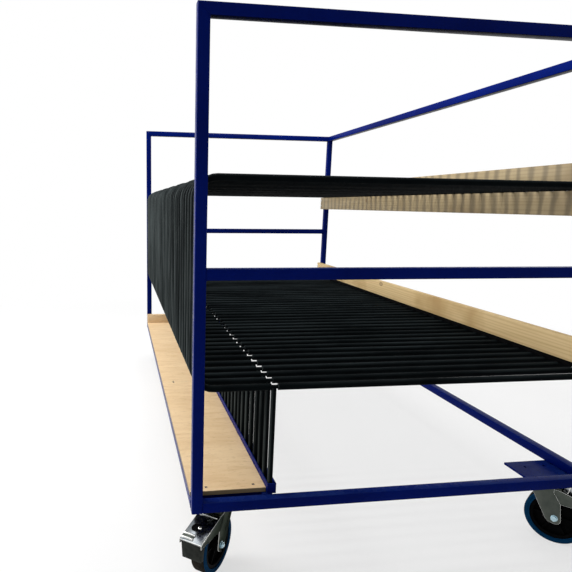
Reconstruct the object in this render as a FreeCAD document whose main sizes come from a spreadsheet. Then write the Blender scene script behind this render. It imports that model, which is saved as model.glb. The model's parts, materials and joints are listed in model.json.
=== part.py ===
import FreeCAD, Part
import math
import os

import Sketcher

# Storage trolley: a welded frame of square tube on four braked swivel castors, with a plywood
# floor strip on its open left side, a channel for the legs of the stored tube frames and
# wooden boards on its right side. Millimetres, +Z up, front face towards -Y, origin on the
# ground under the middle of the frame.

SIZES = {
    # Welded frame of square tube, without castors
    "frame_width": 1460.0,
    "frame_depth": 2685.0,
    "frame_height": 1505.0,
    "tube_side": 35.0,
    "tube_wall": 2.5,
    "middle_rail_top": 785.0,
    # Plywood floor strip, its bearers and screws
    "panel_thickness": 15.0,
    "panel_width": 254.0,
    "panel_end_gap": 15.0,
    "front_panel_length": 1102.0,
    "panel_seam": 1.0,
    "inner_rail_lap": 15.0,
    "floor_screw_edge": 25.0,
    "floor_screw_side": 22.0,
    "floor_screw_seam": 10.0,
    "floor_screw_head_radius": 5.0,
    "floor_screw_radius": 2.4,
    "floor_screw_length": 32.0,
    "batten_thickness": 38.0,
    "batten_height": 63.0,
    # Channel for the legs of the tube frames
    "channel_height": 35.0,
    "channel_wall": 3.0,
    "channel_leg_gap": 3.0,
    "channel_side_gap": 1.0,
    "channel_end_gap": 1.0,
    # Stored tube frames
    "bar_diameter": 22.0,
    "bar_wall": 1.5,
    "bar_bend_radius": 60.0,
    "leg_diameter": 18.0,
    "bar_side_gap": 1.0,
    "bar_front_gap": 6.5,
    "run_bottom": 384.5,
    "run_top": 1057.5,
    "frame_pitch": 67.5,
    # Wooden boards on the right posts
    "board_thickness": 25.0,
    "board_height": 89.0,
    "top_board_height": 75.0,
    "board_end_gap": 4.0,
    "board_bar_gap": 0.5,
    "lower_board_gap": 18.5,
    "board_strip_inset": 2.0,
    "board_screw_radius": 4.0,
    "board_screw_spacing": 40.0,
    "board_screw_head_radius": 8.0,
    "board_screw_head_height": 4.0,
    "board_screw_tip": 12.0,
    # Castor mounting
    "castor_inset": 112.0,
    "castor_splay": 38.4,
    "mount_plate_setback": 17.0,
    "mount_plate_thickness": 8.0,
    "top_plate_margin": 15.0,
    "top_plate_thickness": 5.0,
    "bolt_spacing_length": 105.0,
    "bolt_spacing_width": 80.0,
    "bolt_radius": 5.0,
    "bolt_head_radius": 9.8,
    "bolt_head_height": 6.4,
    "hole_clearance": 0.1,
    # Castor head, fork and kingpin
    "race_radius": 36.0,
    "upper_race_height": 8.0,
    "lower_race_height": 6.7,
    "race_gap": 0.3,
    "kingpin_radius": 8.0,
    "kingpin_nut_radius": 14.0,
    "kingpin_nut_height": 11.7,
    "kingpin_recess": 2.0,
    "running_clearance": 0.05,
    "castor_trail": 52.0,
    "wheel_crown_gap": 14.0,
    "fork_plate": 4.0,
    "crown_thickness": 6.0,
    "crown_reach": 62.0,
    "fork_front_depth": 32.0,
    "fork_rear_depth": 20.0,
    "fork_waist_reach": 28.0,
    "fork_waist_depth": 34.0,
    "fork_lug_radius": 22.0,
    # Wheel
    "wheel_radius": 100.0,
    "tyre_width": 50.0,
    "tyre_thickness": 18.0,
    "tyre_edge_radius": 8.0,
    "tyre_fork_gap": 6.0,
    "core_rim_thickness": 12.0,
    "core_rim_inset": 3.0,
    "core_web_width": 14.0,
    "hub_radius": 24.0,
    "hub_gap": 1.5,
    "axle_radius": 6.0,
    "axle_head_radius": 11.0,
    "axle_head_height": 7.5,
    "axle_tail": 4.0,
    # Brake pedal and shoe
    "pedal_pivot_setback": 14.0,
    "pedal_pivot_drop": 7.0,
    "pedal_pin_radius": 4.0,
    "pedal_lug_radius": 8.0,
    "pedal_side_gap": 1.5,
    "pedal_skirt": 3.5,
    "pedal_plate": 4.0,
    "pedal_skirt_depth": 12.0,
    "pedal_skirt_rear_depth": 48.0,
    "pedal_fork_gap": 4.0,
    "pedal_overhang": 46.0,
    "pedal_rear_rise": 5.0,
    "pedal_front_drop": 27.0,
    "rivet_setback": 63.0,
    "rivet_radius": 7.0,
    "rivet_height": 4.0,
    "shoe_side_gap": 1.5,
    "shoe_front_setback": 4.0,
    "shoe_top_length": 34.0,
    "shoe_foot_length": 15.0,
    "shoe_tyre_gap": 20.0,
    "shoe_foot_rise": 12.0,
}

FRAME_NODES = ("front_tube_frames", "middle_tube_frames", "rear_tube_frames")
HEX_SIDES = 6
LUG_ANGLE = math.radians(30)

DOC = FreeCAD.newDocument("StorageTrolley")
PARTS = {}


class Size:
    """A number together with the sheet expression that gives it."""

    def __init__(self, value, text):
        self.value = float(value)
        self.text = text

    def __add__(self, other):
        other = as_size(other)
        return Size(self.value + other.value, f"({self.text} + {other.text})")

    def __sub__(self, other):
        other = as_size(other)
        return Size(self.value - other.value, f"({self.text} - {other.text})")

    def __mul__(self, other):
        other = as_size(other)
        return Size(self.value * other.value, f"({self.text} * {other.text})")

    def __truediv__(self, other):
        other = as_size(other)
        return Size(self.value / other.value, f"({self.text} / {other.text})")

    def __neg__(self):
        return Size(-self.value, f"(0 - {self.text})")


def as_size(number):
    """Return a plain number as a Size, and a Size as it is."""
    if isinstance(number, Size):
        return number
    return Size(number, f"({float(number)})")


def cosine(angle):
    return Size(math.cos(math.radians(angle.value)), f"cos({angle.text})")


def sine(angle):
    return Size(math.sin(math.radians(angle.value)), f"sin({angle.text})")


def make_sheet():
    """Write the driving sizes to the sheet and return them by name."""
    sheet = DOC.addObject("Spreadsheet::Sheet", "Sizes")
    sizes = {}
    for row, (name, value) in enumerate(SIZES.items(), 1):
        sheet.set(f"A{row}", name)
        sheet.set(f"B{row}", str(value))
        sheet.setAlias(f"B{row}", name)
        sizes[name] = Size(value, f"Sizes.{name}")
    DOC.recompute()
    return sizes


S = make_sheet()


def bind(item, prop, number):
    """Tie one property of an object to the sheet."""
    item.setExpression(prop, as_size(number).text)


def place(item, x, y, z, turn=None):
    """Set an object down at a bound place, turned about the vertical."""
    x, y, z = as_size(x), as_size(y), as_size(z)
    angle = as_size(0 if turn is None else turn)
    upright = FreeCAD.Vector(0, 0, 1)
    base = FreeCAD.Vector(x.value, y.value, z.value)
    item.Placement = FreeCAD.Placement(base, FreeCAD.Rotation(upright, angle.value))
    bind(item, "Placement.Base.x", x)
    bind(item, "Placement.Base.y", y)
    bind(item, "Placement.Base.z", z)
    if turn is not None:
        bind(item, "Placement.Rotation.Angle", angle)


def new_body(label, exported=True):
    """Start a piece; a master that is only copied isn't written out itself."""
    body = DOC.addObject("PartDesign::Body", label)
    body.Label = label
    if exported:
        PARTS[label] = body
    return body


def sketch_on(body, role, height=0, shift=0, rise=0):
    """Start a sketch on one of a body's own origin planes, moved along its normal, x and y."""
    plane = next(item for item in body.Origin.OriginFeatures if item.Role == role)
    sketch = body.newObject("Sketcher::SketchObject", f"{body.Name}_sketch")
    sketch.AttachmentSupport = (plane, [""])
    sketch.MapMode = "FlatFace"
    bind(sketch, "AttachmentOffset.Base.x", shift)
    bind(sketch, "AttachmentOffset.Base.y", rise)
    bind(sketch, "AttachmentOffset.Base.z", height)
    return sketch


def fix_point(sketch, geometry, position, x, y):
    """Hold one point of a sketch at bound coordinates."""
    for kind, number in (("DistanceX", as_size(x)), ("DistanceY", as_size(y))):
        constraint = Sketcher.Constraint(kind, -1, 1, geometry, position, number.value)
        index = sketch.addConstraint(constraint)
        bind(sketch, f"Constraints[{index}]", number)


def fix_radius(sketch, geometry, radius):
    """Hold the radius of a circle or an arc at a bound size."""
    index = sketch.addConstraint(Sketcher.Constraint("Radius", geometry, radius.value))
    bind(sketch, f"Constraints[{index}]", radius)


def arc_segment(start, end, radius, leftward):
    """Return an arc under a half circle from start to end, and the numbers of its end points."""
    chord = end - start
    height = math.sqrt(max(radius ** 2 - (chord.Length / 2) ** 2, 0))
    normal = FreeCAD.Vector(-chord.y, chord.x, 0).normalize()
    side = 1 if leftward else -1
    centre = (start + end) * 0.5 + normal * height * side
    first, last = (start, end) if leftward else (end, start)
    angles = [math.atan2(point.y - centre.y, point.x - centre.x) for point in (first, last)]
    if angles[1] < angles[0]:
        angles[1] += 2 * math.pi
    circle_shape = Part.Circle(centre, FreeCAD.Vector(0, 0, 1), radius)
    ends = (1, 2) if leftward else (2, 1)
    return Part.ArcOfCircle(circle_shape, angles[0], angles[1]), ends


def outline(sketch, points, arcs=None, closed=True):
    """Draw an outline through points; arcs maps a segment's number to its radius and turn."""
    arcs = arcs or {}
    corners = [FreeCAD.Vector(as_size(x).value, as_size(y).value, 0) for x, y in points]
    count = len(points) if closed else len(points) - 1
    segments = []
    for number in range(count):
        start, end = corners[number], corners[(number + 1) % len(points)]
        if number in arcs:
            radius, leftward = arcs[number]
            shape, ends = arc_segment(start, end, radius.value, leftward)
        else:
            shape, ends = Part.LineSegment(start, end), (1, 2)
        segments.append((sketch.addGeometry(shape), ends))
    for number, (geometry, ends) in enumerate(segments):
        fix_point(sketch, geometry, ends[0], *points[number])
        if number + 1 < count or closed:
            following, following_ends = segments[(number + 1) % count]
            joint = ("Coincident", geometry, ends[1], following, following_ends[0])
            sketch.addConstraint(Sketcher.Constraint(*joint))
        else:
            fix_point(sketch, geometry, ends[1], *points[-1])
        if number in arcs:
            fix_radius(sketch, geometry, arcs[number][0])
    return sketch


def rectangle(sketch, left, bottom, right, top):
    return outline(sketch, [(left, bottom), (right, bottom), (right, top), (left, top)])


def circle(sketch, x, y, radius):
    x, y, radius = as_size(x), as_size(y), as_size(radius)
    centre = FreeCAD.Vector(x.value, y.value, 0)
    shape = Part.Circle(centre, FreeCAD.Vector(0, 0, 1), radius.value)
    geometry = sketch.addGeometry(shape)
    fix_point(sketch, geometry, 3, x, y)
    fix_radius(sketch, geometry, radius)
    return sketch


def hexagon(sketch, x, y, radius):
    angles = [math.radians(360 / HEX_SIDES * corner) for corner in range(HEX_SIDES)]
    corners = [(radius * math.cos(angle) + x, radius * math.sin(angle) + y) for angle in angles]
    return outline(sketch, corners)


def extrude(body, kind, sketch, length, side, reverse):
    """Add a pad or a pocket of a bound length to a body."""
    feature = body.newObject(f"PartDesign::{kind}", f"{body.Name}_{kind.lower()}")
    feature.Profile = sketch
    feature.SideType = side
    feature.Reversed = reverse
    bind(feature, "Length", length)
    return feature


def pad(body, sketch, length, side="One side", reverse=False):
    return extrude(body, "Pad", sketch, length, side, reverse)


def pocket(body, sketch, length, side="One side", reverse=False):
    """Cut a pocket, and make sure that it takes material away."""
    DOC.recompute()
    before = body.Shape.Volume
    feature = extrude(body, "Pocket", sketch, length, side, reverse)
    DOC.recompute()
    if body.Shape.Volume >= before:
        raise RuntimeError(f"{body.Label}: a pocket cut nothing")
    return feature


def turn_profile(body, kind, sketch, axis, angle=360, reverse=False):
    """Add a Revolution or a Groove about one axis of its sketch."""
    feature = body.newObject(f"PartDesign::{kind}", f"{body.Name}_{kind.lower()}")
    feature.Profile = sketch
    feature.ReferenceAxis = (sketch, [axis])
    feature.Angle = angle
    feature.Reversed = reverse
    return feature


def copies(label, items):
    """Set down copies of master pieces as one node of separate solids."""
    links = []
    for master, spot in items:
        link = DOC.addObject("App::Link", f"{label}_copy")
        link.LinkedObject = master
        place(link, *spot)
        links.append(link)
    group = DOC.addObject("Part::Compound", label)
    group.Label = label
    group.Links = links
    PARTS[label] = group


# Frame, floor and channel: shared places worked out from the driving sizes
SIDE = S["tube_side"]
WALL = S["tube_wall"]
GAP = S["hole_clearance"]
LEFT = -S["frame_width"] / 2
RIGHT = S["frame_width"] / 2
FRONT = -S["frame_depth"] / 2
REAR = S["frame_depth"] / 2
POST_MIDDLES = (FRONT + SIDE / 2, REAR - SIDE / 2)

# Castor heights, stacked from the ground up
CROWN_BOTTOM = S["wheel_radius"] * 2 + S["wheel_crown_gap"]
CROWN_TOP = CROWN_BOTTOM + S["crown_thickness"]
RACE_BOTTOM = CROWN_TOP + S["lower_race_height"] + S["race_gap"]
PLATE_BOTTOM = RACE_BOTTOM + S["upper_race_height"]
CASTOR_HEIGHT = PLATE_BOTTOM + S["top_plate_thickness"]
BASE = CASTOR_HEIGHT + S["mount_plate_thickness"]
TOP = BASE + S["frame_height"]
DECK = BASE + SIDE

# Floor strip and channel in plan
PANEL_TOP = DECK + S["panel_thickness"]
PANEL_INNER = LEFT + S["panel_width"]
PANEL_FRONT = FRONT + SIDE + S["panel_end_gap"]
PANEL_REAR = REAR - SIDE - S["panel_end_gap"]
SEAM = PANEL_FRONT + S["front_panel_length"]
REAR_PANEL_FRONT = SEAM + S["panel_seam"]
INNER_RAIL_LEFT = PANEL_INNER - S["inner_rail_lap"]
BEARER_LEFT = LEFT + SIDE
BEARER_LENGTH = INNER_RAIL_LEFT - BEARER_LEFT
FLOOR_SCREW_SIDES = (S["floor_screw_side"], BEARER_LENGTH - S["floor_screw_side"])
CHANNEL_WIDTH = S["leg_diameter"] + (S["channel_leg_gap"] + S["channel_wall"]) * 2
CHANNEL_LEFT = PANEL_INNER + S["channel_side_gap"]
CHANNEL_END = SIDE + S["channel_end_gap"] + S["channel_wall"]
CHANNEL_LENGTH = S["frame_depth"] - CHANNEL_END * 2

# Tube frames and boards
BAR_RADIUS = S["bar_diameter"] / 2
BOARD_LEFT = RIGHT - SIDE - S["board_thickness"]
LOWER_RUN_TOP = BASE + S["run_bottom"] + S["bar_diameter"]
UPPER_RUN_TOP = BASE + S["run_top"]
UPPER_BOARD_TOP = UPPER_RUN_TOP - S["bar_diameter"] - S["board_bar_gap"]
BOARDS = {
    "lower_board": (LOWER_RUN_TOP + S["lower_board_gap"], S["board_height"]),
    "upper_board": (UPPER_BOARD_TOP - S["board_height"], S["board_height"]),
    "top_board": (UPPER_RUN_TOP + S["board_bar_gap"], S["top_board_height"]),
}
HALF_STEPS = (-0.5, 0.5)
BOARD_SCREW_HEIGHTS = [
    bottom + height / 2 + S["board_screw_spacing"] * step
    for bottom, height in BOARDS.values()
    for step in HALF_STEPS
]


def tube(label, plane, length, x, y, z):
    """A straight square tube, its section on the given plane, from a corner at x, y, z."""
    body = new_body(label)
    section = sketch_on(body, plane)
    rectangle(section, 0, 0, SIDE, SIDE)
    rectangle(section, WALL, WALL, SIDE - WALL, SIDE - WALL)
    pad(body, section, length, reverse=plane == "XZ_Plane")
    place(body, x, y, z)


def hollow_profile(body, shell_points, bore_points):
    """A square tube drawn from the side, so that its ends can be cut at an angle."""
    shell = sketch_on(body, "XZ_Plane")
    outline(shell, shell_points)
    pad(body, shell, SIDE, "Symmetric")
    bore = sketch_on(body, "XZ_Plane")
    outline(bore, bore_points)
    pocket(body, bore, SIDE - WALL * 2, "Symmetric")


def mitred_post(label, x, y, mirrored):
    """An upright tube with its top cut at 45 degrees for the top rail."""
    body = new_body(label)
    height = S["frame_height"]
    far = SIDE - WALL
    outer, inner = (SIDE, 0) if mirrored else (0, SIDE)
    outer_bore, inner_bore = (far, WALL) if mirrored else (WALL, far)
    shell = [(outer, 0), (inner, 0), (inner, height - SIDE), (outer, height)]
    bore = [(outer_bore, 0), (inner_bore, 0), (inner_bore, height - far), (outer_bore, height - WALL)]
    hollow_profile(body, shell, bore)
    place(body, x, y, BASE)
    return body


def mitred_rail(label, y):
    """A top rail across the trolley with both ends cut at 45 degrees."""
    body = new_body(label)
    width = S["frame_width"]
    far = SIDE - WALL
    shell = [(0, SIDE), (SIDE, 0), (width - SIDE, 0), (width, SIDE)]
    bore = [(WALL, far), (far, WALL), (width - far, WALL), (width - WALL, far)]
    hollow_profile(body, shell, bore)
    place(body, LEFT, y, TOP - SIDE)


def drill_for_boards(post):
    """Holes through a right post's inner wall for the screws of the boards."""
    holes = sketch_on(post, "YZ_Plane")
    for height in BOARD_SCREW_HEIGHTS:
        circle(holes, 0, height - BASE, S["board_screw_radius"] + GAP)
    pocket(post, holes, WALL, reverse=True)


def make_frame():
    """The welded frame of posts and rails."""
    across = S["frame_width"] - SIDE * 2
    along = S["frame_depth"] - SIDE * 2
    middle = BASE + S["middle_rail_top"] - SIDE
    for end, y in zip(("front", "rear"), POST_MIDDLES):
        mitred_post(f"{end}_left_post", LEFT, y, mirrored=False)
        drill_for_boards(mitred_post(f"{end}_right_post", RIGHT - SIDE, y, mirrored=True))
        mitred_rail(f"{end}_top_rail", y)
        tube(f"{end}_middle_rail", "YZ_Plane", across, LEFT + SIDE, y - SIDE / 2, middle)
        tube(f"{end}_bottom_rail", "YZ_Plane", across, LEFT + SIDE, y - SIDE / 2, BASE)
    tube("right_top_rail", "XZ_Plane", along, RIGHT - SIDE, FRONT + SIDE, TOP - SIDE)
    tube("left_bottom_rail", "XZ_Plane", along, LEFT, FRONT + SIDE, BASE)
    tube("right_bottom_rail", "XZ_Plane", along, RIGHT - SIDE, FRONT + SIDE, BASE)
    tube("inner_bottom_rail", "XZ_Plane", along, INNER_RAIL_LEFT, FRONT + SIDE, BASE)


def bearer(label, screw_rows):
    """A short cross tube under the floor, drilled from above at the given rows."""
    body = new_body(label, exported=False)
    half = SIDE / 2
    section = sketch_on(body, "YZ_Plane")
    rectangle(section, -half, 0, half, SIDE)
    rectangle(section, WALL - half, WALL, half - WALL, SIDE - WALL)
    pad(body, section, BEARER_LENGTH)
    holes = sketch_on(body, "XY_Plane", SIDE)
    for x in FLOOR_SCREW_SIDES:
        for row in screw_rows:
            circle(holes, x, row, S["floor_screw_radius"] + GAP)
    pocket(body, holes, WALL)
    return body


def floor_panel(label, start, length, screw_rows):
    """A plywood panel with countersunk holes, rows measured from its front edge."""
    body = new_body(label)
    thickness = S["panel_thickness"]
    face = sketch_on(body, "XY_Plane")
    rectangle(face, 0, 0, S["panel_width"], length)
    pad(body, face, thickness)
    hole = S["floor_screw_radius"] + GAP
    mouth = S["floor_screw_head_radius"] + GAP
    profile = [(0, 0), (hole, 0), (hole, thickness + hole - mouth), (mouth, thickness), (0, thickness)]
    for row in screw_rows:
        for side in FLOOR_SCREW_SIDES:
            DOC.recompute()
            before = body.Shape.Volume
            spindle = sketch_on(body, "XZ_Plane", -row, BEARER_LEFT - LEFT + side)
            outline(spindle, profile)
            turn_profile(body, "Groove", spindle, "V_Axis")
            DOC.recompute()
            if body.Shape.Volume >= before:
                raise RuntimeError(f"{label}: a countersink cut nothing")
    place(body, LEFT, start, DECK)


def make_floor():
    """The two floor panels with their bearers and screws, and the batten across the rear end."""
    edge = S["floor_screw_edge"]
    from_seam = S["floor_screw_seam"] - S["panel_seam"] / 2
    front_length = S["front_panel_length"]
    rear_length = PANEL_REAR - REAR_PANEL_FRONT
    front_rows = (edge, front_length - from_seam)
    rear_rows = (from_seam, rear_length - edge)
    floor_panel("front_floor_panel", PANEL_FRONT, front_length, front_rows)
    floor_panel("rear_floor_panel", REAR_PANEL_FRONT, rear_length, rear_rows)

    end_bearer = bearer("end_bearer", [0])
    seam_bearer = bearer("seam_bearer", [-S["floor_screw_seam"], S["floor_screw_seam"]])
    bearers = [
        (end_bearer, (BEARER_LEFT, PANEL_FRONT + edge, BASE)),
        (seam_bearer, (BEARER_LEFT, SEAM + S["panel_seam"] / 2, BASE)),
        (end_bearer, (BEARER_LEFT, PANEL_REAR - edge, BASE)),
    ]
    copies("floor_bearers", bearers)

    screw = new_body("floor_screw", exported=False)
    head, shank, tip = S["floor_screw_head_radius"], S["floor_screw_radius"], -S["floor_screw_length"]
    profile = sketch_on(screw, "XZ_Plane")
    outline(profile, [(0, 0), (0, tip), (shank, tip), (shank, shank - head), (head, 0)])
    turn_profile(screw, "Revolution", profile, "V_Axis")
    rows = [PANEL_FRONT + row for row in front_rows]
    rows += [REAR_PANEL_FRONT + row for row in rear_rows]
    spots = [(BEARER_LEFT + side, row, PANEL_TOP) for row in rows for side in FLOOR_SCREW_SIDES]
    copies("floor_screws", [(screw, spot) for spot in spots])

    batten = new_body("rear_floor_batten")
    face = sketch_on(batten, "XY_Plane")
    rectangle(face, 0, 0, S["panel_width"], S["batten_thickness"])
    pad(batten, face, S["batten_height"])
    place(batten, LEFT, PANEL_REAR - S["batten_thickness"], PANEL_TOP)


def make_channel():
    """The welded channel that the legs of the tube frames stand in, and the plates that close its ends."""
    height, wall = S["channel_height"], S["channel_wall"]
    base = new_body("channel_base", exported=False)
    section = sketch_on(base, "XZ_Plane")
    rectangle(section, 0, 0, CHANNEL_WIDTH, wall)
    pad(base, section, CHANNEL_LENGTH, reverse=True)
    side = new_body("channel_side", exported=False)
    section = sketch_on(side, "XZ_Plane")
    rectangle(section, 0, wall, wall, height)
    pad(side, section, CHANNEL_LENGTH, reverse=True)
    start = FRONT + CHANNEL_END
    far = CHANNEL_LEFT + CHANNEL_WIDTH - wall
    strips = [(base, CHANNEL_LEFT), (side, CHANNEL_LEFT), (side, far)]
    copies("leg_channel", [(strip, (x, start, DECK)) for strip, x in strips])

    plate = new_body("channel_end_plate", exported=False)
    face = sketch_on(plate, "XZ_Plane")
    rectangle(face, 0, 0, CHANNEL_WIDTH, height)
    pad(plate, face, wall, reverse=True)
    ends = (start - wall, start + CHANNEL_LENGTH)
    copies("channel_end_plates", [(plate, (CHANNEL_LEFT, y, DECK)) for y in ends])


def frame_counts():
    """How many tube frames fit between the end posts, shared out over the nodes."""
    room = S["frame_depth"] - (SIDE + S["bar_front_gap"]) * 2 - S["bar_diameter"]
    total = int(room.value // S["frame_pitch"].value) + 1
    share, left_over = divmod(total, len(FRAME_NODES))
    return [share + (1 if number < left_over else 0) for number in range(len(FRAME_NODES))]


def tube_section(sketch, x, y):
    """Draw the hollow section of a tube frame's tube."""
    circle(sketch, x, y, BAR_RADIUS)
    circle(sketch, x, y, BAR_RADIUS - S["bar_wall"])


def runs_and_bends():
    """The pieces of one tube frame's tube: two runs, the bend at the left of each, and the upright."""
    bend = S["bar_bend_radius"]
    low = S["run_bottom"] + BAR_RADIUS
    high = S["run_top"] - BAR_RADIUS
    upright_x = S["bar_side_gap"] + BAR_RADIUS
    bend_end = upright_x + bend
    run_length = S["frame_width"] - S["bar_side_gap"] - bend_end
    pieces = []
    for name, run, centre in (("upper", high, high - bend), ("lower", low, low + bend)):
        straight = new_body(f"{name}_run", exported=False)
        run_end = sketch_on(straight, "YZ_Plane", bend_end)
        tube_section(run_end, 0, run)
        pad(straight, run_end, run_length)
        curve = new_body(f"{name}_bend", exported=False)
        bend_start = sketch_on(curve, "YZ_Plane", bend_end, rise=centre)
        tube_section(bend_start, 0, run - centre)
        turn_profile(curve, "Revolution", bend_start, "H_Axis", 90, reverse=run is high)
        pieces += [straight, curve]
    upright = new_body("upright", exported=False)
    foot = sketch_on(upright, "XY_Plane", low + bend)
    tube_section(foot, upright_x, 0)
    pad(upright, foot, high - low - bend * 2)
    return pieces + [upright]


def make_leg():
    """The leg of one tube frame, its top cut to fit round the lower run."""
    foot = SIDE + S["channel_wall"]
    run = S["run_bottom"] + BAR_RADIUS
    radius = S["leg_diameter"] / 2
    x = CHANNEL_LEFT - LEFT + CHANNEL_WIDTH / 2
    leg = new_body("tube_frame_leg", exported=False)
    section = sketch_on(leg, "XY_Plane", foot)
    circle(section, x, 0, radius)
    circle(section, x, 0, radius - S["bar_wall"])
    pad(leg, section, run - foot)
    saddle = sketch_on(leg, "YZ_Plane", x)
    circle(saddle, 0, run, BAR_RADIUS)
    pocket(leg, saddle, S["leg_diameter"] * 2, "Symmetric")
    return leg


def make_tube_frames():
    """The row of stored frames: bent tubes open to the right, each on a leg under its lower run."""
    pieces = runs_and_bends() + [make_leg()]
    first = FRONT + SIDE + S["bar_front_gap"] + BAR_RADIUS
    number = 0
    for label, count in zip(FRAME_NODES, frame_counts()):
        rows = [first + S["frame_pitch"] * (number + step) for step in range(count)]
        copies(label, [(piece, (LEFT, row, BASE)) for row in rows for piece in pieces])
        number += count


def make_boards():
    """The boards on the inner faces of the right posts, their screws, and the strip under the lower board."""
    length = S["frame_depth"] - S["board_end_gap"] * 2
    from_end = SIDE / 2 - S["board_end_gap"]
    for label, (bottom, height) in BOARDS.items():
        body = new_body(label)
        face = sketch_on(body, "YZ_Plane")
        rectangle(face, 0, 0, length, height)
        for along in (from_end, length - from_end):
            for step in HALF_STEPS:
                up = height / 2 + S["board_screw_spacing"] * step
                circle(face, along, up, S["board_screw_radius"] + GAP)
        pad(body, face, S["board_thickness"])
        place(body, BOARD_LEFT, FRONT + S["board_end_gap"], bottom)

    inset = S["board_strip_inset"]
    strip = new_body("lower_board_strip")
    face = sketch_on(strip, "XY_Plane")
    rectangle(face, 0, 0, S["board_thickness"] - inset * 2, length)
    pad(strip, face, S["lower_board_gap"] - S["board_bar_gap"])
    place(strip, BOARD_LEFT + inset, FRONT + S["board_end_gap"], LOWER_RUN_TOP + S["board_bar_gap"])

    screw = new_body("board_screw", exported=False)
    shank = sketch_on(screw, "YZ_Plane")
    circle(shank, 0, 0, S["board_screw_radius"])
    pad(screw, shank, S["board_thickness"] + S["board_screw_tip"])
    head = sketch_on(screw, "YZ_Plane")
    circle(head, 0, 0, S["board_screw_head_radius"])
    pad(screw, head, S["board_screw_head_height"], reverse=True)
    spots = [(BOARD_LEFT, y, z) for y in POST_MIDDLES for z in BOARD_SCREW_HEIGHTS]
    copies("board_screws", [(screw, spot) for spot in spots])


# Castors: name, side in X and in Y, and the turn that points the pedal outwards
QUARTER = as_size(90)
CASTORS = (
    ("front_left", -1, -1, QUARTER * 3 - S["castor_splay"]),
    ("front_right", 1, -1, QUARTER * 3 + S["castor_splay"]),
    ("rear_left", -1, 1, QUARTER - S["castor_splay"]),
    ("rear_right", 1, 1, QUARTER + S["castor_splay"]),
)
KINGPINS = {
    name: ((RIGHT - S["castor_inset"]) * side_x, (REAR - S["castor_inset"]) * side_y)
    for name, side_x, side_y, _ in CASTORS
}
BOLT_OFFSETS = [
    (S["bolt_spacing_width"] * step_x, S["bolt_spacing_length"] * step_y)
    for step_x in HALF_STEPS
    for step_y in HALF_STEPS
]
KINGPIN_BORE = S["kingpin_radius"] + S["running_clearance"]

# Fork, wheel and pedal in the castor's own frame: x towards the pedal, z up from the ground
FORK_GAP = S["tyre_width"] + S["tyre_fork_gap"] * 2
FORK_WIDTH = FORK_GAP + S["fork_plate"] * 2
TREAD_REACH = S["castor_trail"] + S["wheel_radius"]
PIVOT_X = S["crown_reach"] - S["pedal_pivot_setback"]
PIVOT_Z = CROWN_BOTTOM - S["pedal_pivot_drop"]
PEDAL_INSIDE = FORK_WIDTH + S["pedal_side_gap"] * 2
PEDAL_WIDTH = PEDAL_INSIDE + S["pedal_skirt"] * 2
PEDAL_REAR = S["crown_reach"] + S["pedal_fork_gap"]
PEDAL_FRONT = TREAD_REACH + S["pedal_overhang"]
PEDAL_SLOPE = (S["pedal_rear_rise"] + S["pedal_front_drop"]) / (PEDAL_FRONT - PEDAL_REAR)


def pedal_top(x):
    """Height of the pedal's upper face at a reach from the kingpin."""
    return PIVOT_Z + S["pedal_rear_rise"] - (x - PEDAL_REAR) * PEDAL_SLOPE


def drilled_plate(body, half_x, half_y, thickness, bore=None):
    """A castor plate with its four bolt holes, and a bore for the kingpin where it has one."""
    face = sketch_on(body, "XY_Plane")
    rectangle(face, -half_x, -half_y, half_x, half_y)
    for x, y in BOLT_OFFSETS:
        circle(face, x, y, S["bolt_radius"] + GAP)
    if bore is not None:
        circle(face, 0, 0, bore)
    pad(body, face, thickness)


def make_castor_mounts():
    """The plates under the frame corners and the fixed half of each castor."""
    mount_plate = new_body("castor_mount_plate", exported=False)
    half = S["castor_inset"] - S["mount_plate_setback"]
    drilled_plate(mount_plate, half, half, S["mount_plate_thickness"])

    top_plate = new_body("castor_top_plate", exported=False)
    half_x = S["bolt_spacing_width"] / 2 + S["top_plate_margin"]
    half_y = S["bolt_spacing_length"] / 2 + S["top_plate_margin"]
    drilled_plate(top_plate, half_x, half_y, S["top_plate_thickness"], KINGPIN_BORE)
    race = sketch_on(top_plate, "XY_Plane")
    circle(race, 0, 0, S["race_radius"])
    circle(race, 0, 0, KINGPIN_BORE)
    pad(top_plate, race, S["upper_race_height"], reverse=True)

    kingpin = new_body("castor_kingpin", exported=False)
    profile = sketch_on(kingpin, "XZ_Plane")
    pin, nut = S["kingpin_radius"], S["kingpin_nut_radius"]
    nut_top = CROWN_BOTTOM - S["race_gap"]
    nut_bottom = nut_top - S["kingpin_nut_height"]
    pin_top = CASTOR_HEIGHT - S["kingpin_recess"]
    corners = [(0, nut_bottom), (nut, nut_bottom), (nut, nut_top)]
    corners += [(pin, nut_top), (pin, pin_top), (0, pin_top)]
    outline(profile, corners)
    turn_profile(kingpin, "Revolution", profile, "V_Axis")

    bolt = new_body("castor_bolt", exported=False)
    head = sketch_on(bolt, "XY_Plane")
    hexagon(head, 0, 0, S["bolt_head_radius"])
    pad(bolt, head, S["bolt_head_height"], reverse=True)
    shank = sketch_on(bolt, "XY_Plane")
    circle(shank, 0, 0, S["bolt_radius"])
    pad(bolt, shank, S["top_plate_thickness"] + S["mount_plate_thickness"])

    corners = KINGPINS.values()
    copies("castor_mount_plates", [(mount_plate, (x, y, CASTOR_HEIGHT)) for x, y in corners])
    copies("castor_top_plates", [(top_plate, (x, y, PLATE_BOTTOM)) for x, y in corners])
    copies("castor_kingpins", [(kingpin, (x, y, 0)) for x, y in corners])
    bolts = [(x + along, y + across, PLATE_BOTTOM) for x, y in corners for along, across in BOLT_OFFSETS]
    copies("castor_bolts", [(bolt, spot) for spot in bolts])


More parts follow.
